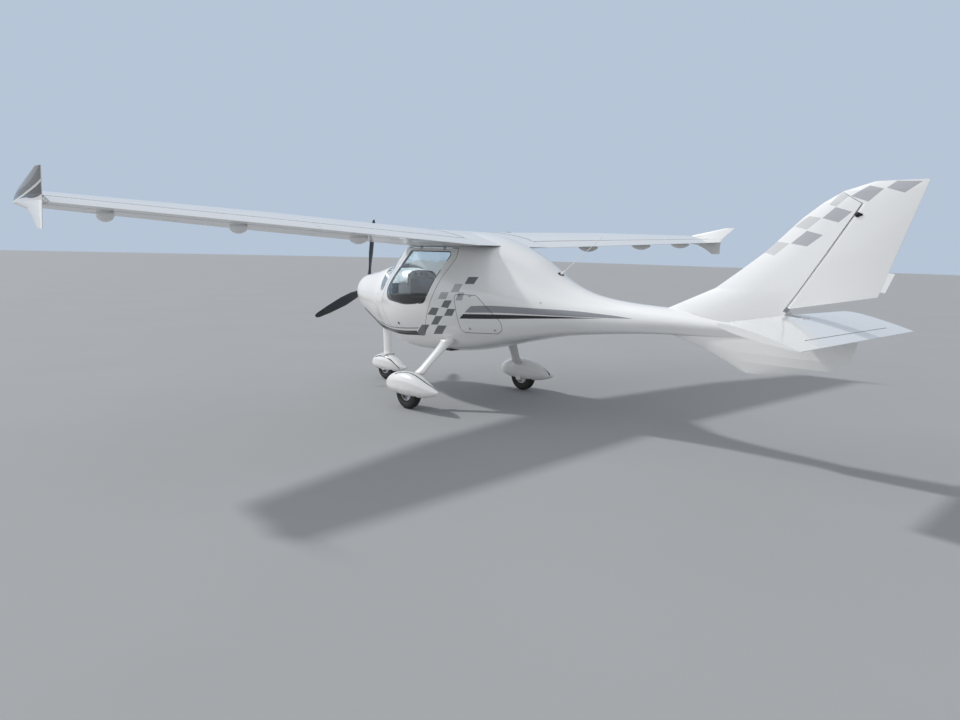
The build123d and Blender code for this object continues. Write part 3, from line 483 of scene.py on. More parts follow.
MATERIALS = {
    "hull": hull_paint(),
    "white": plain_paint(),
    "fin": fin_paint(),
    "winglet": winglet_paint(),
    "spat": spat_paint("white_spat", SPAT_LINE, 0.013, True),
    "nose_spat": spat_paint("white_nose_spat", NOSE_SPAT_LINE, 0.014, False),
    "blade": speckled("propeller_black", (0.010, 0.010, 0.012), (0.022, 0.022, 0.025), 240, 0.42, 0.1,
                      Coat_Weight=0.2),
    "rubber": rubber_paint(),
    "seal": speckled("seal_rubber", (0.018, 0.018, 0.02), (0.03, 0.03, 0.032), 300, 0.65),
    "window": window_paint(),
    "seat": cloth_paint("seat_cloth", (0.030, 0.032, 0.038), (0.055, 0.058, 0.066)),
    "seat_edge": speckled("seat_leather", (0.020, 0.020, 0.022), (0.042, 0.042, 0.045), 160, 0.5, 0.4),
    "belt": cloth_paint("belt_webbing", (0.05, 0.05, 0.055), (0.09, 0.09, 0.10), 1400),
    "panel": panel_paint(),
    "plastic": speckled("cabin_plastic", (0.035, 0.036, 0.04), (0.06, 0.061, 0.066), 260, 0.55, 0.3),
    "screen": screen_paint(),
    "steel": metal_paint("brushed_steel", (0.42, 0.42, 0.43), (0.62, 0.62, 0.63), 0.32),
    "alloy": metal_paint("cast_alloy", (0.55, 0.55, 0.56), (0.70, 0.70, 0.71), 0.42, (1, 1, 1)),
    "exhaust": metal_paint("heat_stained_steel", (0.20, 0.15, 0.11), (0.42, 0.36, 0.30), 0.45, (1, 1, 1)),
    "engine": speckled("engine_casting", (0.05, 0.05, 0.052), (0.11, 0.11, 0.115), 120, 0.6, 0.5),
    "black_metal": speckled("black_anodised", (0.012, 0.012, 0.013), (0.03, 0.03, 0.032), 200, 0.4,
                            Metallic=0.6),
    "mesh": mesh_paint(),
    "needle": speckled("needle_white", (0.6, 0.6, 0.58), (0.7, 0.7, 0.68), 60, 0.5),
    "red_lens": lens_paint("red_lens", (0.45, 0.01, 0.01)),
    "green_lens": lens_paint("green_lens", (0.01, 0.30, 0.06)),
    "clear_lens": lens_paint("clear_lens", (0.55, 0.57, 0.6)),
}

NODE_LOOKS = {
    "hull": ("cabin_shell", "tail_cone", "cowl_upper", "cowl_lower", "door_left", "door_right",
             "baggage_hatch_left", "baggage_hatch_right"),
    "white": ("wing_left", "wing_right", "flap_left", "flap_right", "aileron_left", "aileron_right",
              "tailplane", "tailplane_tab", "ventral_fin", "main_leg_left", "main_leg_right", "nose_leg",
              "spinner", "tailplane_bracket", "antenna"),
    "fin": ("fin", "rudder"),
    "winglet": ("winglet_left", "winglet_right"),
    "spat": ("main_spat_left", "main_spat_right"),
    "nose_spat": ("nose_spat",),
    "blade": ("propeller",),
    "window": ("windscreen", "door_window_left", "door_window_right"),
    "panel": ("instrument_panel",),
    "plastic": ("controls", "bulkhead"),
    "engine": ("engine_block",),
    "exhaust": ("exhaust_pipe",),
    "steel": ("nose_gear_mount",),
    "alloy": ("main_rim_left", "main_rim_right", "nose_rim"),
}
for look, names in NODE_LOOKS.items():
    for node_name in names:
        for material_slot in NODES[node_name].material_slots:
            material_slot.material = MATERIALS[look]


# Mesh helpers


def finish_piece(piece, body, look, smooth=True):
    piece.data.materials.clear()
    piece.data.materials.append(MATERIALS[look])
    if smooth:
        piece.data.polygons.foreach_set("use_smooth", [True] * len(piece.data.polygons))
    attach(piece, body)
    return piece


def mesh_piece(name, verts, faces, body, look, smooth=True):
    mesh = bpy.data.meshes.new(name)
    mesh.from_pydata([tuple(v) for v in verts], [], faces)
    work = bmesh.new()
    work.from_mesh(mesh)
    bmesh.ops.recalc_face_normals(work, faces=work.faces)
    work.to_mesh(mesh)
    work.free()
    mesh.update()
    return finish_piece(link_object(name, mesh), body, look, smooth)


def joined(name, parts, body, look, smooth=True):
    """One piece from several (verts, faces) forms."""
    verts, faces = [], []
    for part_verts, part_faces in parts:
        base = len(verts)
        verts += part_verts
        faces += [[base + i for i in face] for face in part_faces]
    return mesh_piece(name, verts, faces, body, look, smooth)


def rings_form(rings, closed_ends=True):
    """Faces through equal rings of points."""
    count = len(rings[0])
    verts = [v for ring in rings for v in ring]
    faces = []
    for r in range(len(rings) - 1):
        for i in range(count):
            j = (i + 1) % count
            faces.append([r * count + i, r * count + j, (r + 1) * count + j, (r + 1) * count + i])
    if closed_ends:
        faces.append(list(range(count))[::-1])
        faces.append([(len(rings) - 1) * count + i for i in range(count)])
    return verts, faces


def turned_form(profile, centre, axis, steps=32, closed_ends=True):
    """A profile of (distance along the axis, radius) turned about the axis through centre."""
    axis = Vector(axis).normalized()
    side = axis.orthogonal().normalized()
    other = axis.cross(side)
    rings = []
    for along, radius in profile:
        middle = Vector(centre) + axis * along
        ring = []
        for i in range(steps):
            turn = 2 * math.pi * i / steps
            ring.append(middle + radius * (math.cos(turn) * side + math.sin(turn) * other))
        rings.append(ring)
    return rings_form(rings, closed_ends)


def bolt_form(place, way, radius, height=0.005, chamfer=0.001, steps=6):
    """A bolt's head, or a nut, standing along way."""
    profile = [(0, radius), (height - chamfer, radius), (height, radius - chamfer)]
    return turned_form(profile, place, way, steps)


def screw_form(place, normal, radius, height, steps=14):
    """A domed screw head with a recessed centre."""
    profile = [(-0.001, radius), (height * 0.4, radius), (height, radius * 0.72), (height, radius * 0.3),
               (height * 0.2, radius * 0.22)]
    return turned_form(profile, place, normal, steps)


def bevelled_box(name, low, high, body, look, bevel=0.004):
    low, high = Vector(low), Vector(high)
    mesh = bpy.data.meshes.new(name)
    work = bmesh.new()
    bmesh.ops.create_cube(work, size=1)
    for vert in work.verts:
        vert.co = Vector((low[i] + (vert.co[i] + 0.5) * (high[i] - low[i]) for i in range(3)))
    bmesh.ops.bevel(work, geom=work.edges[:], offset=bevel, segments=3, profile=0.5, affect="EDGES")
    work.to_mesh(mesh)
    work.free()
    return finish_piece(link_object(name, mesh), body, look)


def surface_of(*names):
    """One search tree over the outer faces of some CAD nodes."""
    verts, faces = [], []
    for name in names:
        mesh = NODES[name].data
        base = len(verts)
        verts += [v.co.copy() for v in mesh.vertices]
        faces += [[base + i for i in p.vertices] for p in mesh.polygons]
    return BVHTree.FromPolygons(verts, faces)


def drop_on(surface, start, way):
    """Where a ray from start meets a surface, and the face's normal turned against the ray."""
    place, normal, _, _ = surface.ray_cast(Vector(start), Vector(way))
    if place is None:
        return None
    if normal.dot(way) > 0:
        normal = -normal
    return place, normal


def ribbon_form(points, normals, width, height, closed=False):
    """A low crowned strip that follows a surface."""
    rings = []
    count = len(points)
    for i in range(count):
        before = points[(i - 1) % count if closed else max(i - 1, 0)]
        after = points[(i + 1) % count if closed else min(i + 1, count - 1)]
        along = (after - before).normalized()
        across = normals[i].cross(along).normalized()
        ring = []
        for share, lift in ((-0.5, -0.0006), (-0.42, height * 0.7), (0, height), (0.42, height * 0.7),
                            (0.5, -0.0006)):
            ring.append(points[i] + across * width * share + normals[i] * lift)
        rings.append(ring)
    if closed:
        rings.append(rings[0])
    return rings_form(rings, not closed)


def rounded_outline(corners, step=20):
    """Points along a closed outline in station millimetres, rounded where a corner has a radius."""
    points = []
    count = len(corners)
    for i in range(count):
        before, here, after = (Vector(corners[j % count][:2]) for j in (i - 1, i, i + 1))
        radius = corners[i][2] if len(corners[i]) == 3 else 0
        if not radius:
            points.append(here)
            continue
        a, b = (before - here).normalized(), (after - here).normalized()
        half = a.angle(b) / 2
        reach = radius / math.tan(half)
        middle = here + (a + b).normalized() * radius / math.sin(half)
        start, end = here + a * reach - middle, here + b * reach - middle
        turn = start.angle_signed(end)
        for k in range(13):
            angle = -turn * k / 12
            spun = Vector((
                start.x * math.cos(angle) - start.y * math.sin(angle),
                start.x * math.sin(angle) + start.y * math.cos(angle),
            ))
            points.append(middle + spun)
    filled = []
    for here, after in zip(points, points[1:] + points[:1]):
        length = (after - here).length
        if length < 0.5:
            continue
        parts = max(1, round(length / step))
        filled += [here.lerp(after, k / parts) for k in range(parts)]
    return filled


def outline_strip(surface, corners, side, width, height):
    """A strip laid on the hull along a side view outline."""
    hits = [drop_on(surface, at(x, side * 1500, z), (0, -side, 0)) for x, z in rounded_outline(corners)]
    hits = [hit for hit in hits if hit and side * hit[0].y > 0.1]
    return ribbon_form(*zip(*hits), width, height, closed=True)


# Wheels: grooved tyres, bolted rims


def tyre_profile(radius, width, rim):
    """Across the tyre from one bead to the other, with four grooves round the tread."""
    half = width / 2
    wall = radius - rim
    flank = [(-0.62, 0.02), (-0.72, 0.0), (-0.80, 0.05), (-0.90, 0.2), (-0.975, 0.36), (-1.0, 0.5),
             (-0.99, 0.6), (-0.965, 0.66), (-0.95, 0.68), (-0.93, 0.74), (-0.87, 0.83), (-0.77, 0.90),
             (-0.66, 0.945)]
    points = [(y * half, rim + r * wall) for y, r in flank]

    def crown(y):
        return radius - 0.075 * wall * (y / (0.55 * half)) ** 2

    for y in (-0.44, -0.15, 0.15, 0.44):
        middle = y * half
        for shift, depth in ((-0.0032, 0), (-0.0022, 0.0034), (0.0022, 0.0034), (0.0032, 0)):
            points.append((middle + shift, crown(middle + shift) - depth))
        points.append((middle + 0.15 * half, crown(middle + 0.15 * half)))
    points.pop()
    return points + [(-y, r) for y, r in reversed(points[:len(flank)])]


def add_wheel(name, centre, radius, width, rim, node, body, side):
    form = turned_form(tyre_profile(radius, width, rim), centre, (0, 1, 0), 96, closed_ends=False)
    inner = [(0.62 * width / 2, rim + 0.001), (-0.62 * width / 2, rim + 0.001)]
    piece = joined(name, [form, turned_form(inner, centre, (0, 1, 0), 96, False)], body, "rubber")
    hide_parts(node)
    bolts = []
    for number in range(6):
        turn = math.radians(30 + 60 * number)
        place = centre + Vector((math.sin(turn) * 0.022, side * 0.0385, math.cos(turn) * 0.022))
        bolts.append(bolt_form(place, (0, side, 0), 0.0045, 0.004))
    valve = centre + Vector((0.052, side * 0.02, 0.02))
    stem = [(-0.012, 0.003), (0.014, 0.003), (0.016, 0.0042), (0.022, 0.0042)]
    bolts.append(turned_form(stem, valve, (0, side, 0), 12))
    joined(name.replace("tyre", "wheel_bolts"), bolts, body, "steel")


add_wheel("tyre_treaded_nose", at(*NOSE_WHEEL), NOSE_TYRE_RADIUS, 0.092, 0.072, "nose_tyre",
          "nose_wheel", PORT)
for side, hand in SIDES:
    centre = at(MAIN_WHEEL[0], side * MAIN_WHEEL[1], MAIN_WHEEL[2])
    add_wheel("tyre_treaded_" + hand, centre, MAIN_TYRE_RADIUS, 0.100, 0.080, "main_tyre_" + hand,
              "main_wheel_" + hand, side)

# Seals round the door windows

for side, hand in SIDES:
    door_skin = surface_of("door_" + hand, "door_window_" + hand)
    strip = outline_strip(door_skin, DOOR_WINDOW, side, 0.010, 0.0012)
    joined("window_seal_" + hand, [strip], "door_" + hand, "seal")


# Fittings laid on a surface


def oval(half_width, half_height, power=2, steps=40):
    """Points round an oval, squarer with a higher power."""
    points = []
    for i in range(steps):
        turn = 2 * math.pi * i / steps
        c, s = math.cos(turn), math.sin(turn)
        points.append((half_width * math.copysign(abs(c) ** (2 / power), c),
                       half_height * math.copysign(abs(s) ** (2 / power), s)))
    return points


def lay(surface, centre, way, points):
    """Outline points about a centre, carried along way onto a surface, as places and normals."""
    way = Vector(way).normalized()
    across = way.cross(Vector((0, 0, 1)) if abs(way.z) < 0.9 else Vector((0, 1, 0))).normalized()
    up = across.cross(way)
    hits = [drop_on(surface, Vector(centre) + across * u + up * v, way) for u, v in points]
    return None if None in hits else tuple(zip(*hits))


def cover_form(surface, centre, way, half_width, half_height, lift, power=2):
    """A thin plate that follows the surface, with a softened rim."""
    rows = []
    for share, height in ((1.0, -0.0008), (0.995, lift * 0.6), (0.97, lift), (0.8, lift), (0.5, lift),
                          (0.1, lift)):
        points = [(u * share, v * share) for u, v in oval(half_width, half_height, power)]
        found = lay(surface, centre, way, points)
        if found is None:
            return None
        rows.append([place + normal * height for place, normal in zip(*found)])
    verts, faces = rings_form(rows, False)
    faces.append(list(range(len(verts) - len(rows[-1]), len(verts))))
    return verts, faces


def rim_form(surface, centre, way, half_width, half_height, width, height, power=2):
    """A crowned ring that follows the surface."""
    found = lay(surface, centre, way, oval(half_width, half_height, power))
    return ribbon_form(*found, width, height, closed=True) if found else None


def screws_on(surface, starts, way, radius=0.0035, height=0.0012):
    """Screw heads where rays from the starts meet the surface."""
    hits = [drop_on(surface, start, way) for start in starts]
    return [screw_form(*hit, radius, height) for hit in hits if hit]


def spaced(first, last, count):
    return [Vector(first).lerp(Vector(last), k / (count - 1)) for k in range(count)]


def ring_on(centre, axis, radius, count, start=0.0):
    """Places evenly round an axis."""
    axis = Vector(axis).normalized()
    side = axis.orthogonal().normalized()
    other = axis.cross(side)
    turns = [start + 2 * math.pi * k / count for k in range(count)]
    return [Vector(centre) + radius * (math.cos(t) * side + math.sin(t) * other) for t in turns]


def add_forms(name, forms, body, look):
    forms = [form for form in forms if form]
    if forms:
        joined(name, forms, body, look)


def steel_fittings(name, forms, body="airframe"):
    add_forms(name, forms, body, "steel")


hull_skin = surface_of("cabin_shell", "tail_cone", "cowl_upper", "cowl_lower")
cowl_skin = surface_of("cowl_upper", "cowl_lower")

# Cowl: quarter-turn fasteners along its joints, intakes and the oil door's gap

for side, hand in SIDES:
    inward = (0, -side, 0)
    starts = spaced(at(1190, side * 900, 1104), at(1790, side * 900, 1104), 9)
    starts += spaced(at(COWL_SEAM, side * 900, 700), at(COWL_SEAM, side * 900, 1330), 9)
    forms = screws_on(cowl_skin, starts, inward, 0.006, 0.0015)
    over_top = spaced(at(COWL_SEAM, side * 240, 1700), at(COWL_SEAM, side * 30, 1700), 4)
    forms += screws_on(cowl_skin, over_top, (0, 0, -1), 0.006, 0.0015)
    steel_fittings("cowl_fasteners_" + hand, forms)
    intake = at(2100, side * 128, 1058)
    aft = (-1, 0, 0)
    lip = rim_form(cowl_skin, intake, aft, 0.040, 0.026, 0.008, 0.004)
    add_forms("intake_lip_" + hand, [lip], "airframe", "white")
    # A thin plate over the opening: the wire is drawn on it, and the dark between the wires is painted shade
    # of the intake behind
    mesh = cover_form(cowl_skin, intake, aft, 0.038, 0.024, 0.0006)
    add_forms("intake_mesh_" + hand, [mesh], "airframe", "mesh")
# Chin intake: the same plate, with painted shade between the wires
chin = (cowl_skin, at(1740, 0, 500), (0.35, 0, 1))
add_forms("chin_intake_lip", [rim_form(*chin, 0.09, 0.035, 0.012, 0.008)], "airframe", "white")
add_forms("chin_intake_mesh", [cover_form(*chin, 0.087, 0.032, 0.001)], "airframe", "mesh")
door_gap = rim_form(cowl_skin, at(1420, -120, 1700), (0, 0, -1), 0.07, 0.055, 0.003, 0.0008, 6)
add_forms("oil_door", [door_gap], "airframe", "seal")

# Spinner screws

spinner_skin = surface_of("spinner")
rim = at(*PROP_HUB) + Vector((-0.038, 0, 0))
forms = []
for start in ring_on(rim, (1, 0, 0), 0.3, 12, 0.26):
    forms += screws_on(spinner_skin, [start], (rim - start).normalized(), 0.0035, 0.001)
steel_fittings("spinner_screws", forms, "propeller")

# Leg fairings, axle nuts and plates, fork bolts and spat screws

for side, hand in SIDES:
    leg_skin = surface_of("main_leg_" + hand)
    rings = []
    for z, grow in LEG_CUFF:
        share = (720 - z) / 410
        middle = at(-150 + 155 * share, side * (440 + 336 * share), z)
        ring = []
        for i in range(36):
            turn = 2 * math.pi * i / 36
            out = Vector((math.cos(turn), math.sin(turn), 0))
            hit = drop_on(leg_skin, middle + out * 0.5, -out)
            reach = (hit[0] - middle).length if hit else 0.06
            ring.append(middle + out * (reach + grow))
        rings.append(ring)
    joined("leg_fairing_" + hand, [rings_form(rings)], "airframe", "white")
    outward, inward = (0, side, 0), (0, -side, 0)
    axle = at(MAIN_WHEEL[0], side * 912, MAIN_WHEEL[2])
    nut = [turned_form([(-0.002, 0.017), (0.002, 0.017), (0.003, 0.016)], axle, outward, 28)]
    nut.append(bolt_form(axle, outward, 0.012, 0.0105, 0.0015))
    nut.append(turned_form([(0, 0.006), (0.013, 0.006), (0.0145, 0.005)], axle, outward, 16))
    steel_fittings("axle_nut_" + hand, nut)
    plate = []
    for x, z in ((-24, 300), (24, 300), (-24, 272), (24, 272)):
        plate.append(bolt_form(at(x, side * 776, z), inward, 0.0055))
    steel_fittings("axle_plate_bolts_" + hand, plate)
    fork = []
    for z in (180, 205, 290):
        for x in (-14, 14):
            fork.append(bolt_form(at(NOSE_WHEEL[0] + x, side * 70, z), outward, 0.005))
    axle = at(NOSE_WHEEL[0], side * 70, NOSE_WHEEL[2])
    fork.append(turned_form([(0, 0.011), (0.008, 0.011), (0.009, 0.0095)], axle, outward, 6))
    steel_fittings("fork_bolts_" + hand, fork, "nose_gear")
    starts = [at(x, side * 1200, z) for x in (-60, 60) for z in (165, 240)]
    starts += [at(x, side * 1200, 190) for x in (250, -250)]
    screws = screws_on(surface_of("main_spat_" + hand), starts, inward, 0.005)
    steel_fittings("spat_screws_" + hand, screws)
    starts = [at(NOSE_WHEEL[0] + x, side * 400, z) for x in (-45, 45) for z in (150, 215)]
    screws = screws_on(surface_of("nose_spat"), starts, inward, 0.0045)
    steel_fittings("nose_spat_screws_" + hand, screws, "nose_gear")

# Wings: fuel caps, root fairing strips, inspection covers, hinge fairing screws

for side, hand in SIDES:
    wing_skin = surface_of("wing_" + hand)
    down, up = (0, 0, -1), (0, 0, 1)
    cap = at(330, side * 880, 2200)
    disc = cover_form(wing_skin, cap, down, 0.036, 0.036, 0.003)
    add_forms("fuel_cap_" + hand, [disc], "airframe", "alloy")
    tab = turned_form([(0.002, 0.009), (0.006, 0.009), (0.007, 0.007)], *drop_on(wing_skin, cap, down), 20)
    ring = rim_form(wing_skin, cap, down, 0.041, 0.041, 0.008, 0.002)
    add_forms("fuel_cap_ring_" + hand, [tab, ring], "airframe", "black_metal")
    covers, screws = [], []
    for y in (950, 1450, 2050, 2650, 3250, 3800):
        place = at(-60, side * y, 1200)
        covers.append(cover_form(wing_skin, place, up, 0.05, 0.05, 0.0012))
        screws += screws_on(wing_skin, ring_on(place, (0, 0, 1), 0.042, 6), up, 0.003, 0.0022)
    add_forms("inspection_covers_" + hand, covers, "airframe", "white")
    for y in (1670, 2800, 3770):
        for x in (-170, -260, -340):
            for dy in (-22, 22):
                screws += screws_on(wing_skin, [at(x, side * y + dy, 1200)], up)
    steel_fittings("wing_screws_" + hand, screws)
    strip = []
    for way, z in ((down, 2300), (up, 1200)):
        hits = [drop_on(wing_skin, at(x, side * 506, z), way) for x in range(-600, 745, 15)]
        strip.append(ribbon_form(*zip(*[hit for hit in hits if hit]), 0.012, 0.001))
    add_forms("wing_root_strip_" + hand, strip, "airframe", "seal")
    screws = []
    for x in range(-520, 700, 110):
        screws += screws_on(wing_skin, [at(x, side * 530, 2300)], down, 0.004)
        screws += screws_on(wing_skin, [at(x, side * 530, 1200)], up, 0.004)
    steel_fittings("wing_root_screws_" + hand, screws)

# Position lights at the wing tips

for side, hand in SIDES:
    tip_skin = surface_of("winglet_" + hand)
    lens = "red_lens" if side == PORT else "green_lens"
    way = Vector((-0.8, -0.6 * side, 0)).normalized()
    start = at(120, side * 4225, 1862) - way * 0.4
    glass = cover_form(tip_skin, start, way, 0.020, 0.012, 0.004, 3)
    add_forms("position_light_" + hand, [glass], "airframe", lens)
    rim = rim_form(tip_skin, start, way, 0.023, 0.015, 0.004, 0.002, 3)
    add_forms("position_light_rim_" + hand, [rim], "airframe", "black_metal")

# Doors and hatches: locks

for side, hand in SIDES:
    inward = (0, -side, 0)
    spot = drop_on(surface_of("door_" + hand), at(614, side * 1200, 812), inward)
    lock = turned_form(DOOR_LOCK, *spot, 28)
    add_forms("door_lock_" + hand, [lock], "door_" + hand, "black_metal")
    hatch_skin = surface_of("baggage_hatch_" + hand)
    forms = []
    for x, z in ((-470, 845), (-740, 848)):
        forms.append(turned_form(HATCH_LOCK, *drop_on(hatch_skin, at(x, side * 1200, z), inward), 24))
    steel_fittings("hatch_locks_" + hand, forms, "baggage_hatch_" + hand)

# Black hinge fitting near the top of the rudder's hinge line

rudder_skin = surface_of("rudder")
forms = []
for side, hand in SIDES:
    hit = drop_on(rudder_skin, at(-3890, side * 1200, 1928), (0, -side, 0))
    boss = at(-3882, hit[0].y * 1000, 1928)
    forms.append(turned_form([(-0.004, 0.018), (0.005, 0.018), (0.008, 0.013)], boss, (0, side, 0), 28))
    forms.append(turned_form([(0.007, 0.007), (0.011, 0.007), (0.012, 0.0058)], boss, (0, side, 0), 6))
    wedge = [(0, -0.015), (-0.030, -0.007), (-0.034, 0.0), (-0.030, 0.007), (0, 0.015)]
    half = side * 0.004
    forms.append(rings_form([[boss + Vector((x, y, z)) for x, z in wedge] for y in (-half, half)]))
joined("rudder_hinge", forms, "rudder", "black_metal")

# Tail: bracket bolts, static ports, antenna base

forms = []
for side, hand in SIDES:
    for x, z in ((-3510, 1125), (-3510, 1150), (-3560, 1160)):
        forms.append(bolt_form(at(x, side * 36, z), (0, side, 0), 0.0065))
steel_fittings("bracket_bolts", forms)
for side, hand in SIDES:
    spot = drop_on(hull_skin, at(-1250, side * 1200, 1150), (0, -side, 0))
    steel_fittings("static_port_" + hand, [turned_form(STATIC_PORT, *spot, 24)])
base = cover_form(hull_skin, at(-1235, 0, 2000), (0, 0, -1), 0.022, 0.036, 0.004, 3)
add_forms("antenna_base", [base], "airframe", "seal")

# Instrument panel: displays, round gauges, switches, knobs

def panel_form(y, z, profile, steps=28):
    """A turned fitting that stands out aft from the panel."""
    return turned_form(profile, at(PANEL_FACE, y, z), (-1, 0, 0), steps)


def panel_plate(name, y0, y1, z0, z1, depth, look):
    low, high = at(PANEL_FACE - depth, min(y0, y1), z0), at(PANEL_FACE + 1, max(y0, y1), z1)
    bevelled_box(name, low, high, "airframe", look, 0.002)


def panel_fittings(name, forms, look):
    joined(name, forms, "airframe", look)


panel_plate("display_bezel", -150, 172, PANEL_LIP, 1302, 9, "plastic")
panel_plate("display_glass", -138, 160, PANEL_LIP + 12, 1290, 11, "screen")
panel_plate("panel_lip_left", 190, 436, PANEL_LIP, PANEL_LIP + 9, 16, "panel")
panel_plate("panel_lip_right", -436, -190, PANEL_LIP, PANEL_LIP + 9, 16, "panel")
for side, hand in SIDES:
    panel_plate("gauge_plate_" + hand, side * 352, side * 436, 1124, 1236, 4, "seal")
    panel_plate("map_pocket_" + hand, side * 235, side * 340, 1128, 1232, 3, "panel")
gauges, faces, needles = [], [], []
for y, z, radius in ((392, 1206, 22), (392, 1155, 22), (-392, 1206, 22), (-392, 1155, 22), (200, 1330, 16),
                     (-60, 1342, 24), (20, 1342, 24), (100, 1342, 24)):
    r = radius / 1000
    rim = [(0.002, r), (0.008, r), (0.009, r * 0.95), (0.006, r * 0.82), (0.005, r * 0.8)]
    gauges.append(panel_form(y, z, rim))
    faces.append(panel_form(y, z, [(0.0058, r * 0.8), (0.006, r * 0.79)]))
    turn = random.uniform(0.5, 2.6)
    root = at(PANEL_FACE - 7, y, z)
    tip = root + Vector((0, math.cos(turn), math.sin(turn))) * r * 0.7
    wide = Vector((0, -math.sin(turn), math.cos(turn))) * 0.0008
    flat = [root - wide, root + wide, tip + wide * 0.4, tip - wide * 0.4]
    needles.append(rings_form([flat, [corner + Vector((-0.0006, 0, 0)) for corner in flat]]))
panel_fittings("gauge_rims", gauges, "black_metal")
panel_fittings("gauge_faces", faces, "screen")
joined("gauge_needles", needles, "airframe", "needle", smooth=False)
steel_fittings("panel_switches", [panel_form(160 - 40 * k, 1072, SWITCH, 12) for k in range(9)])
knobs = []
for y, reach in ((-60, 0.045), (0, 0.03), (60, 0.038)):
    knob = [(0, 0.006), (reach, 0.006), (reach + 0.004, 0.016), (reach + 0.016, 0.017),
            (reach + 0.020, 0.012)]
    knobs.append(panel_form(y, 1030, knob))
panel_fittings("panel_knobs", knobs, "plastic")


def dash_height(x, y):
    """Top of the dash in station millimetres, from the panel's edge up to the windscreen's foot."""
    share = (x - 862) / 250
    return 1242 + 165 * share ** 0.75 - 55 * share * (abs(y) / 330) ** 3 - 40 * (abs(y) / 400) ** 6


rows = []
for x in range(862, 1113, 10):
    half = 425 - 0.32 * (x - 862)
    top = [at(x, half * k / 12, dash_height(x, half * k / 12)) for k in range(-12, 13)]
    rows.append(top + [v - Vector((0, 0, 0.006)) for v in reversed(top)])
panel_fittings("dash_top", [rings_form(rows)], "panel")
arch_line = [(-0.215, 1.215), (-0.213, 1.30), (-0.19, 1.345), (-0.15, 1.37), (-0.08, 1.379), (0, 1.381),
             (0.08, 1.379), (0.15, 1.37), (0.19, 1.345), (0.213, 1.30), (0.215, 1.215)]
arch_points = [Vector((at(PANEL_FACE, 0, 0).x - 0.001, y, z)) for y, z in arch_line]
arch = ribbon_form(arch_points, [Vector((-1, 0, 0))] * len(arch_points), 0.012, 0.004)
panel_fittings("arch_trim", [arch], "seal")

# Seats: padded cushions swollen by cloth simulation on a moulded shell

def side_quad(corners, share_long, share_thick):
    """A point of a four-cornered side view form: corners run front low, front high, back high, back low."""
    a, b, c, d = (Vector(corner) for corner in corners)
    return a.lerp(b, share_long).lerp(d.lerp(c, share_long), share_thick)


def pad_piece(name, corners, middle, half, cells=16):
    """A closed cushion of even faces between four side view corners, narrower where its sides pull in."""
    mesh = bpy.data.meshes.new(name)
    work = bmesh.new()
    bmesh.ops.create_cube(work, size=1)
    bmesh.ops.subdivide_edges(work, edges=work.edges[:], cuts=cells, use_grid_fill=True)
    for vert in work.verts:
        long_share, wide, thick = vert.co.x + 0.5, vert.co.y * 2, vert.co.z + 0.5
        spot = side_quad(corners, long_share, thick)
        pull = 1 - 0.05 * math.sin(math.pi * long_share) - 0.03 * (2 * thick - 1) ** 2
        vert.co = at(spot.x, middle + wide * half * pull, spot.y)
    bmesh.ops.recalc_face_normals(work, faces=work.faces)
    work.to_mesh(mesh)
    work.free()
    return link_object(name, mesh)


def swell(pad, cap):
    """Pressure fills the cushion as cloth; no point moves further than the cap. The result is applied."""
    scene = bpy.context.scene
    cloth = pad.modifiers.new("swell", "CLOTH")
    cloth.settings.use_pressure = True
    cloth.settings.uniform_pressure_force = 4
    cloth.settings.effector_weights.gravity = 0
    cloth.settings.quality = 5
    for number in range(1, 21):
        scene.frame_set(number)
    graph = bpy.context.evaluated_depsgraph_get()
    swollen = [v.co.copy() for v in pad.evaluated_get(graph).data.vertices]
    pad.modifiers.remove(cloth)
    scene.frame_set(1)
    for vert, target in zip(pad.data.vertices, swollen):
        move = target - vert.co
        if move.length > cap:
            move *= cap / move.length
        vert.co += move
    pad.data.update()


def smooth_and_sew(pad, channels, way, depth, spread=0.006):
    """Subdivided smooth, then sewn channels are pressed in across a direction."""
    finer = pad.modifiers.new("finer", "SUBSURF")
    finer.levels = 2
    graph = bpy.context.evaluated_depsgraph_get()
    mesh = bpy.data.meshes.new_from_object(pad.evaluated_get(graph))
    pad.modifiers.clear()
    pad.data = mesh
    way = Vector(way).normalized()
    normals = [v.normal.copy() for v in mesh.vertices]
    for vert, normal in zip(mesh.vertices, normals):
        along = vert.co.dot(way)
        press = sum(math.exp(-((along - c) / spread) ** 2) for c in channels)
        if press > 0.01:
            vert.co -= normal * depth * press
    mesh.update()


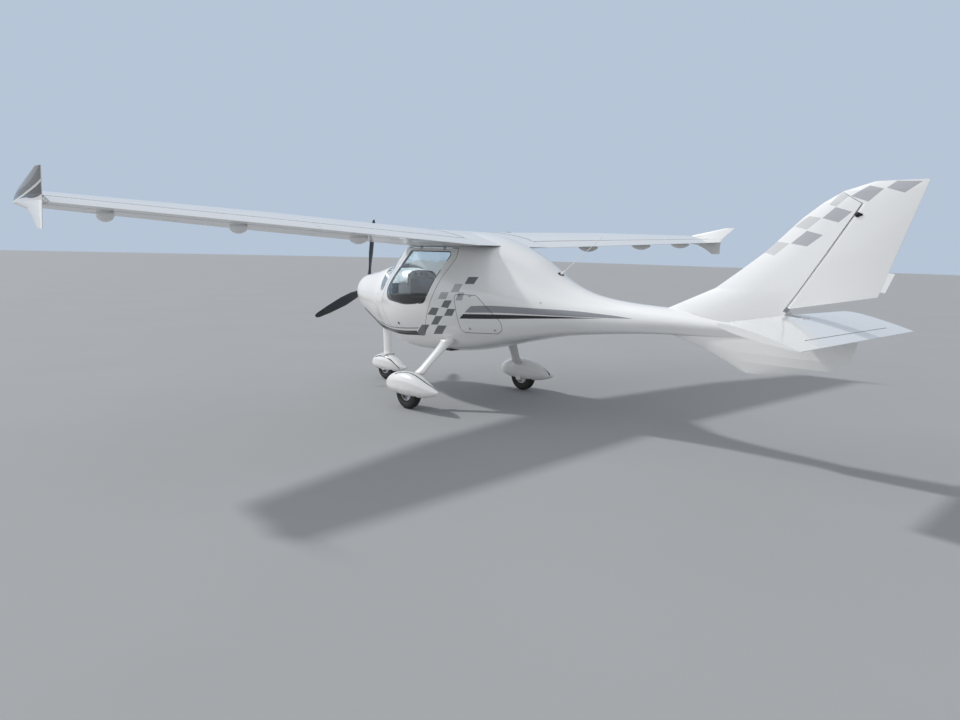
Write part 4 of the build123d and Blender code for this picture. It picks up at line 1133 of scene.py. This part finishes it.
def add_seat(side, hand):
    middle = side * SEAT_MIDDLE
    back_corners = ((28, 742), (-143, 1222), (-190, 1214), (-60, 730))
    pan_corners = ((40, 700), (432, 704), (436, 758), (52, 728))
    back = pad_piece("seat_back_pad_" + hand, back_corners, middle, SEAT_HALF - 8)
    pan = pad_piece("seat_pan_pad_" + hand, pan_corners, middle, SEAT_HALF - 8)
    swell(back, 0.014)
    swell(pan, 0.012)
    lean = Vector((-171, 0, 480)).normalized()
    start = at(28, 0, 742).dot(lean)
    smooth_and_sew(back, [start + 0.001 * d for d in (120, 210, 300, 390)], lean, 0.006)
    first = at(40, 0, 0).x
    smooth_and_sew(pan, [first + 0.001 * d for d in (90, 180, 270)], (1, 0, 0), 0.005)
    for pad in (back, pan):
        finish_piece(pad, "airframe", "seat")
    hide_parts("seat_" + hand)
    shell_line = [(-70, 724), (-198, 1218), (-232, 1222), (-112, 702), (-92, 690), (436, 690), (436, 702),
                  (20, 702)]
    shell = []
    for across, inset in ((-SEAT_HALF, 1.2), (6 - SEAT_HALF, 0), (SEAT_HALF - 6, 0), (SEAT_HALF, 1.2)):
        shell.append([at(x - math.copysign(inset, x - 60), middle + across, z) for x, z in shell_line])
    joined("seat_shell_" + hand, [rings_form(shell)], "airframe", "seat_edge", smooth=False)
    inner, outer = (-150, 105) if side == PORT else (-105, 150)
    bevelled_box("seat_base_" + hand, at(-56, middle + inner, 560), at(396, middle + outer, 689), "airframe",
                 "plastic", 0.012)
    return back, pan


def strap_on(name, pads, starts, way):
    """Flat webbing that lies where rays from the starts meet the pads."""
    hits = [drop_on(pads, start, way) for start in starts]
    places, normals = zip(*[(hit[0] + hit[1] * 0.003, hit[1]) for hit in hits if hit])
    joined(name, [ribbon_form(places, normals, 0.045, 0.0022)], "airframe", "belt")


def add_belts(side, hand, back, pan):
    middle = side * SEAT_MIDDLE
    verts, faces = [], []
    for pad in (back, pan):
        base = len(verts)
        verts += [v.co.copy() for v in pad.data.vertices]
        faces += [[base + i for i in p.vertices] for p in pad.data.polygons]
    pads = BVHTree.FromPolygons(verts, faces)
    down = (0, 0, -1)
    for number, sign in enumerate((-1, 1)):
        starts = []
        for share in (k / 14 for k in range(15)):
            starts.append(at(500, middle + sign * (75 - 57 * share ** 1.5), 1200 - 420 * share))
        strap_on("shoulder_belt_%s_%d" % (hand, number), pads, starts, (-1, 0, 0))
        starts = []
        for share in (k / 10 for k in range(11)):
            starts.append(at(60 + 22 * share, middle + sign * (160 - 140 * share), 1100))
        strap_on("lap_belt_%s_%d" % (hand, number), pads, starts, down)
    place = drop_on(pads, at(86, middle, 1100), down)[0]
    low, high = place + Vector((-0.028, -0.024, 0.002)), place + Vector((0.028, 0.024, 0.018))
    bevelled_box("belt_buckle_" + hand, low, high, "airframe", "black_metal", 0.004)


for side, hand in SIDES:
    add_belts(side, hand, *add_seat(side, hand))

place_camera()
bpy.context.scene.view_settings.view_transform = "Standard"

# Floor, world and lamps


def build_stage():
    mesh = bpy.data.meshes.new("floor")
    mesh.from_pydata([(-150, -150, 0), (150, -150, 0), (150, 150, 0), (-150, 150, 0)], [], [(0, 1, 2, 3)])
    floor = link_object("floor", mesh)
    paint = Paint("floor_pale", (0.34, 0.345, 0.35), 0.9)
    paint.color(paint.mix(paint.noise(0.6, 3), (0.33, 0.335, 0.34), (0.36, 0.365, 0.37)))
    mesh.materials.append(paint.mat)
    world = bpy.data.worlds.new("studio")
    bpy.context.scene.world = world
    world.use_nodes = True
    tree = world.node_tree
    back = tree.nodes["Background"]
    path = tree.nodes.new("ShaderNodeLightPath")
    shown = path.outputs["Is Camera Ray"]
    for kind in ("Is Glossy Ray", "Is Transmission Ray"):
        either = tree.nodes.new("ShaderNodeMath")
        either.operation = "MAXIMUM"
        tree.links.new(shown, either.inputs[0])
        tree.links.new(path.outputs[kind], either.inputs[1])
        shown = either.outputs[0]
    color = tree.nodes.new("ShaderNodeMix")
    color.data_type = "RGBA"
    color.inputs[6].default_value = (0.52, 0.54, 0.57, 1)
    color.inputs[7].default_value = (0.47, 0.56, 0.68, 1)
    tree.links.new(shown, color.inputs[0])
    tree.links.new(color.outputs[2], back.inputs["Color"])
    add_sun("key", (-1.75, -0.75, -1.83), 1.9, 4)
    add_sun("fill", (-0.6, -1.0, -0.4), 0.95, 80)


build_stage()
